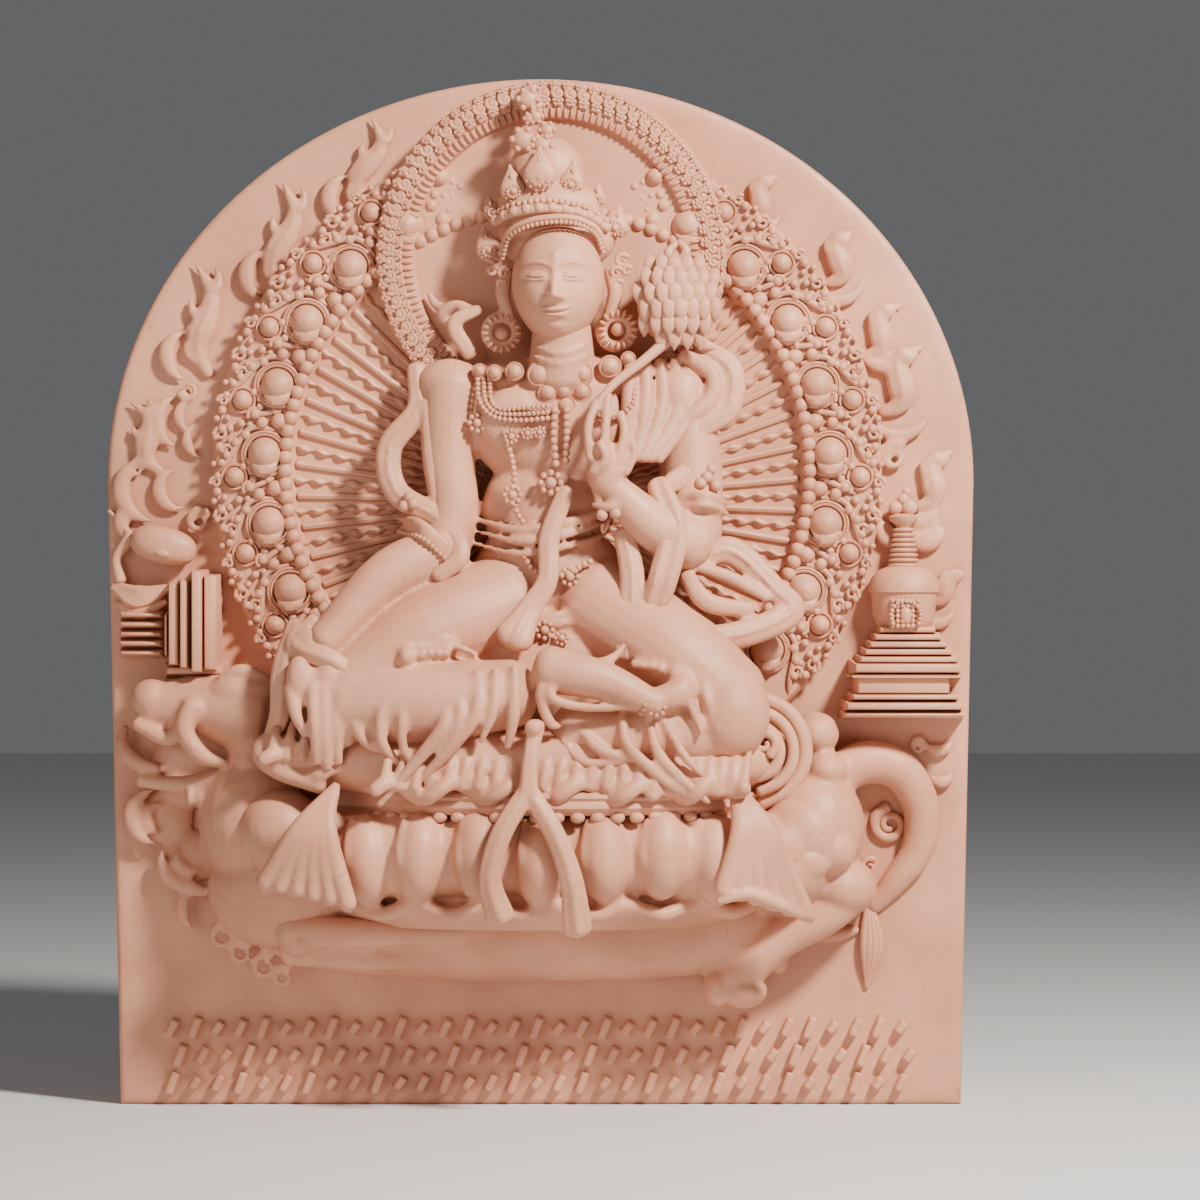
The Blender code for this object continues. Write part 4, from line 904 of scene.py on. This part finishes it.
def make_jewels():
    """Necklace stones, bead strings, belly chain, bangles."""
    s = []
    for x, z, r in ((-60, 738, 6), (-45, 736, 6.5), (-25, 737, 7.5), (0, 734, 10), (22, 733, 8),
            (42, 735, 9), (70, 742, 9), (8, 716, 8), (24, 717, 7), (42, 717, 8), (26, 703, 8),
            (88, 750, 6)):
        s.append(lathe([(0.01, 7), (r * 0.5, 6), (r * 0.8, 4), (r, 1), (r * 1.15, 2), (r * 1.3, 0),
            (r * 1.3, -8)], (x, z, 84 - 0.0022 * (x - 15) ** 2), steps=18))
    for inset, size in ((0, 2.9), (6, 2.6), (12, 2.6)):
        s.append(beads([(-62 + inset, 730, 72), (-60 + inset, 708, 80),
            (-46 + inset * 0.6, 692 + inset * 0.6, 88), (-20, 688 + inset, 92), (8, 690 + inset, 92)],
            size))
    s.append(beads([(94, 720, 80), (92, 704, 86), (76, 692, 90), (52, 690, 92)], 2.8))
    s.append(beads([(15, 698, 92), (14, 670, 92), (16, 645, 92)], 4.0))
    s.append(beads([(27, 698, 92), (27, 670, 92), (26, 648, 92)], 4.0))
    s.append(beads([(-35, 676, 90), (-26, 642, 88), (-24, 602, 86), (-17, 588, 88)], 3.2))
    for x, z, r, out in ((-62, 686, 8, 78), (-27, 614, 8, 88), (11, 626, 10, 92), (30, 533, 8, 90),
            (5, 480, 8, 100), (-28, 672, 6, 92), (-12, 675, 5, 92), (0, 676, 5, 92), (115, 405, 8, 160),
            (22, 472, 6, 100)):
        s.append(lump((x, z, out), (r * 0.6, r * 0.6, r * 0.6)))
        s.append(copies(KNOB, ring_of((x, z), r, np.arange(8) * 45.0, out), r * 0.36))
    s.append(beads([(-15, 553, 86), (-5, 540, 90), (20, 534, 92), (50, 548, 86)], 3.4))
    for x, z, out in ((-135, 603, 78), (-126, 606, 80), (-130, 612, 76), (160, 626, 84), (175, 624, 80),
            (170, 640, 74), (166, 632, 82), (62, 594, 110), (75, 596, 112), (84, 604, 108)):
        s.append(lump((x, z, out), (6, 6, 6)))
    s.append(beads([(-140, 578, 62), (-116, 571, 96), (-94, 552, 96)], 3.0))
    s.append(beads([(100, 400, 158), (104, 408, 164), (106, 418, 162)], 2.8))
    piece("jewels", s)


def make_lotus():
    """Flower of overlapping pointed petals on a stem, set in falling rows."""
    s = [lump((137, 806, 60), (40, 42, 34), rows=18, cols=28)]
    petal = tube([(0, 14, -2), (0, 6, 2.6), (0, -6, 3), (0, -15, 0)], [3, 7.2, 6.4, 0.8], 0.36, 12,
        per_span=4)
    places, sizes, turns = [], [], []
    for row in range(6):
        z = 840 - 13.5 * row
        half = 40 * math.sqrt(max(0.08, 1 - ((z - 808) / 46) ** 2))
        count = max(3, int(half / 5.2))
        for k in range(count):
            x = -half + (k + 0.5 + 0.5 * (row % 2 - 0.5)) * 2 * half / count
            places.append((137 + x, z, 60 + 35 * math.sqrt(max(0.05,
                1 - (x / 43) ** 2 - ((z - 806) / 48) ** 2)) + row * 0.3))
            sizes.append(0.95)
            turns.append(-x * 0.55 * (1 if z > 800 else -0.2))
    s.append(copies(petal, places, sizes, turns))
    s += [tube([(134, 848, 62), (128, 856, 60), (136, 866, 56)], [4, 5, 3], 0.8),
        tube([(140, 848, 62), (146, 858, 60), (139, 868, 56)], [4, 5, 3], 0.8)]
    s.append(tube([(134, 774, 76), (104, 748, 88), (74, 724, 98), (54, 700, 106)], [6.5, 5, 4.5, 4], 1,
        14))
    s.append(tube([(150, 776, 70), (162, 766, 62), (176, 762, 56)], [5, 6, 3], 0.6))
    piece("lotus", s)


def add_node(tree, kind, inputs, **settings):
    """A node with its settings made first, then a link or a value on each named socket."""
    node = tree.nodes.new(kind)
    for name, value in settings.items():
        setattr(node, name, value)
    for name, value in inputs.items():
        if isinstance(value, bpy.types.NodeSocket):
            tree.links.new(value, node.inputs[name])
        else:
            node.inputs[name].default_value = value
    return node


def paint_clay():
    """Fired clay: mottled warm buff with small dark specks and a fine grain."""
    clay.use_nodes = True
    tree = clay.node_tree
    shader = tree.nodes["Principled BSDF"]
    place = add_node(tree, "ShaderNodeTexCoord", {}).outputs["Object"]

    def noise(scale, detail, rough):
        inputs = {"Scale": scale, "Detail": detail, "Roughness": rough, "Vector": place}
        return add_node(tree, "ShaderNodeTexNoise", inputs).outputs["Fac"]

    def ramp(value, low, high, first, last):
        inputs = {"Value": value, "From Min": low, "From Max": high, "To Min": first, "To Max": last}
        return add_node(tree, "ShaderNodeMapRange", inputs).outputs["Result"]

    def blend(share, first, last):
        inputs = {"Factor": share, "A": first, "B": last}
        return add_node(tree, "ShaderNodeMix", inputs, data_type="RGBA").outputs["Result"]

    mottled = blend(ramp(noise(60, 5, 0.6), 0.35, 0.65, 0, 1), DARK_BUFF, PALE_BUFF)
    specked = blend(ramp(noise(900, 3, 0.5), 0.66, 0.74, 0, 0.45), mottled, SPECK)
    tree.links.new(specked, shader.inputs["Base Color"])
    tree.links.new(ramp(noise(140, 4, 0.6), 0.3, 0.7, 0.46, 0.62), shader.inputs["Roughness"])
    shader.inputs["Specular IOR Level"].default_value = 0.45
    grain = {"Strength": 0.35, "Distance": 0.00012, "Height": noise(1400, 4, 0.6)}
    tree.links.new(add_node(tree, "ShaderNodeBump", grain).outputs["Normal"], shader.inputs["Normal"])


def light(name, place, target, size, power, colour):
    """Round area lamp at a place, facing the target."""
    data = bpy.data.lights.new(name, "AREA")
    data.shape = "DISK"
    data.size = size
    data.energy = power
    data.color = colour
    lamp = bpy.data.objects.new(name, data)
    lamp.location = place
    lamp.rotation_euler = (Vector(target) - Vector(place)).to_track_quat("-Z", "Y").to_euler()
    bpy.context.scene.collection.objects.link(lamp)


def make_studio():
    """Pale floor, dim grey surround, key from upper right, weak fill from the left, frontal camera."""
    mesh = bpy.data.meshes.new("floor")
    mesh.from_pydata([(-1.5, -1.5, 0), (1.5, -1.5, 0), (1.5, 1.5, 0), (-1.5, 1.5, 0)], [], [(0, 1, 2, 3)])
    floor = bpy.data.objects.new("floor", mesh)
    bpy.context.scene.collection.objects.link(floor)
    pale = bpy.data.materials.new("pale_floor")
    pale.use_nodes = True
    pale.node_tree.nodes["Principled BSDF"].inputs["Base Color"].default_value = (0.62, 0.61, 0.60, 1)
    pale.node_tree.nodes["Principled BSDF"].inputs["Roughness"].default_value = 0.55
    mesh.materials.append(pale)
    world = bpy.data.worlds.new("studio")
    world.use_nodes = True
    world.node_tree.nodes["Background"].inputs["Color"].default_value = (0.80, 0.82, 0.85, 1)
    world.node_tree.nodes["Background"].inputs["Strength"].default_value = 0.16
    bpy.context.scene.world = world
    light("key", (0.22, -0.26, 0.34), (0, 0, 0.07), 0.06, 5.2, (1.0, 0.95, 0.9))
    light("fill", (-0.35, -0.45, 0.12), (0, 0, 0.07), 0.4, 1.2, (1.0, 0.9, 0.85))
    data = bpy.data.cameras.new("camera")
    data.lens = LENS
    camera = bpy.data.objects.new("camera", data)
    distance = FRAME_WIDTH * LENS / SENSOR
    camera.location = (AIM_X * STEP, FACE - RELIEF_MIDDLE * STEP - distance, AIM_Z * STEP)
    camera.rotation_euler = (math.pi / 2, 0, 0)
    data.clip_start = 0.01
    bpy.context.scene.collection.objects.link(camera)
    bpy.context.scene.camera = camera


paint_clay()
slab = make_slab()
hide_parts("plaque")
make_glory()
make_halo()
make_flames()
make_books()
make_stupa()
make_strokes()
make_beast()
make_bolster()
make_cloth()
make_body()
make_scarves()
make_head()
make_jewels()
make_lotus()
make_studio()
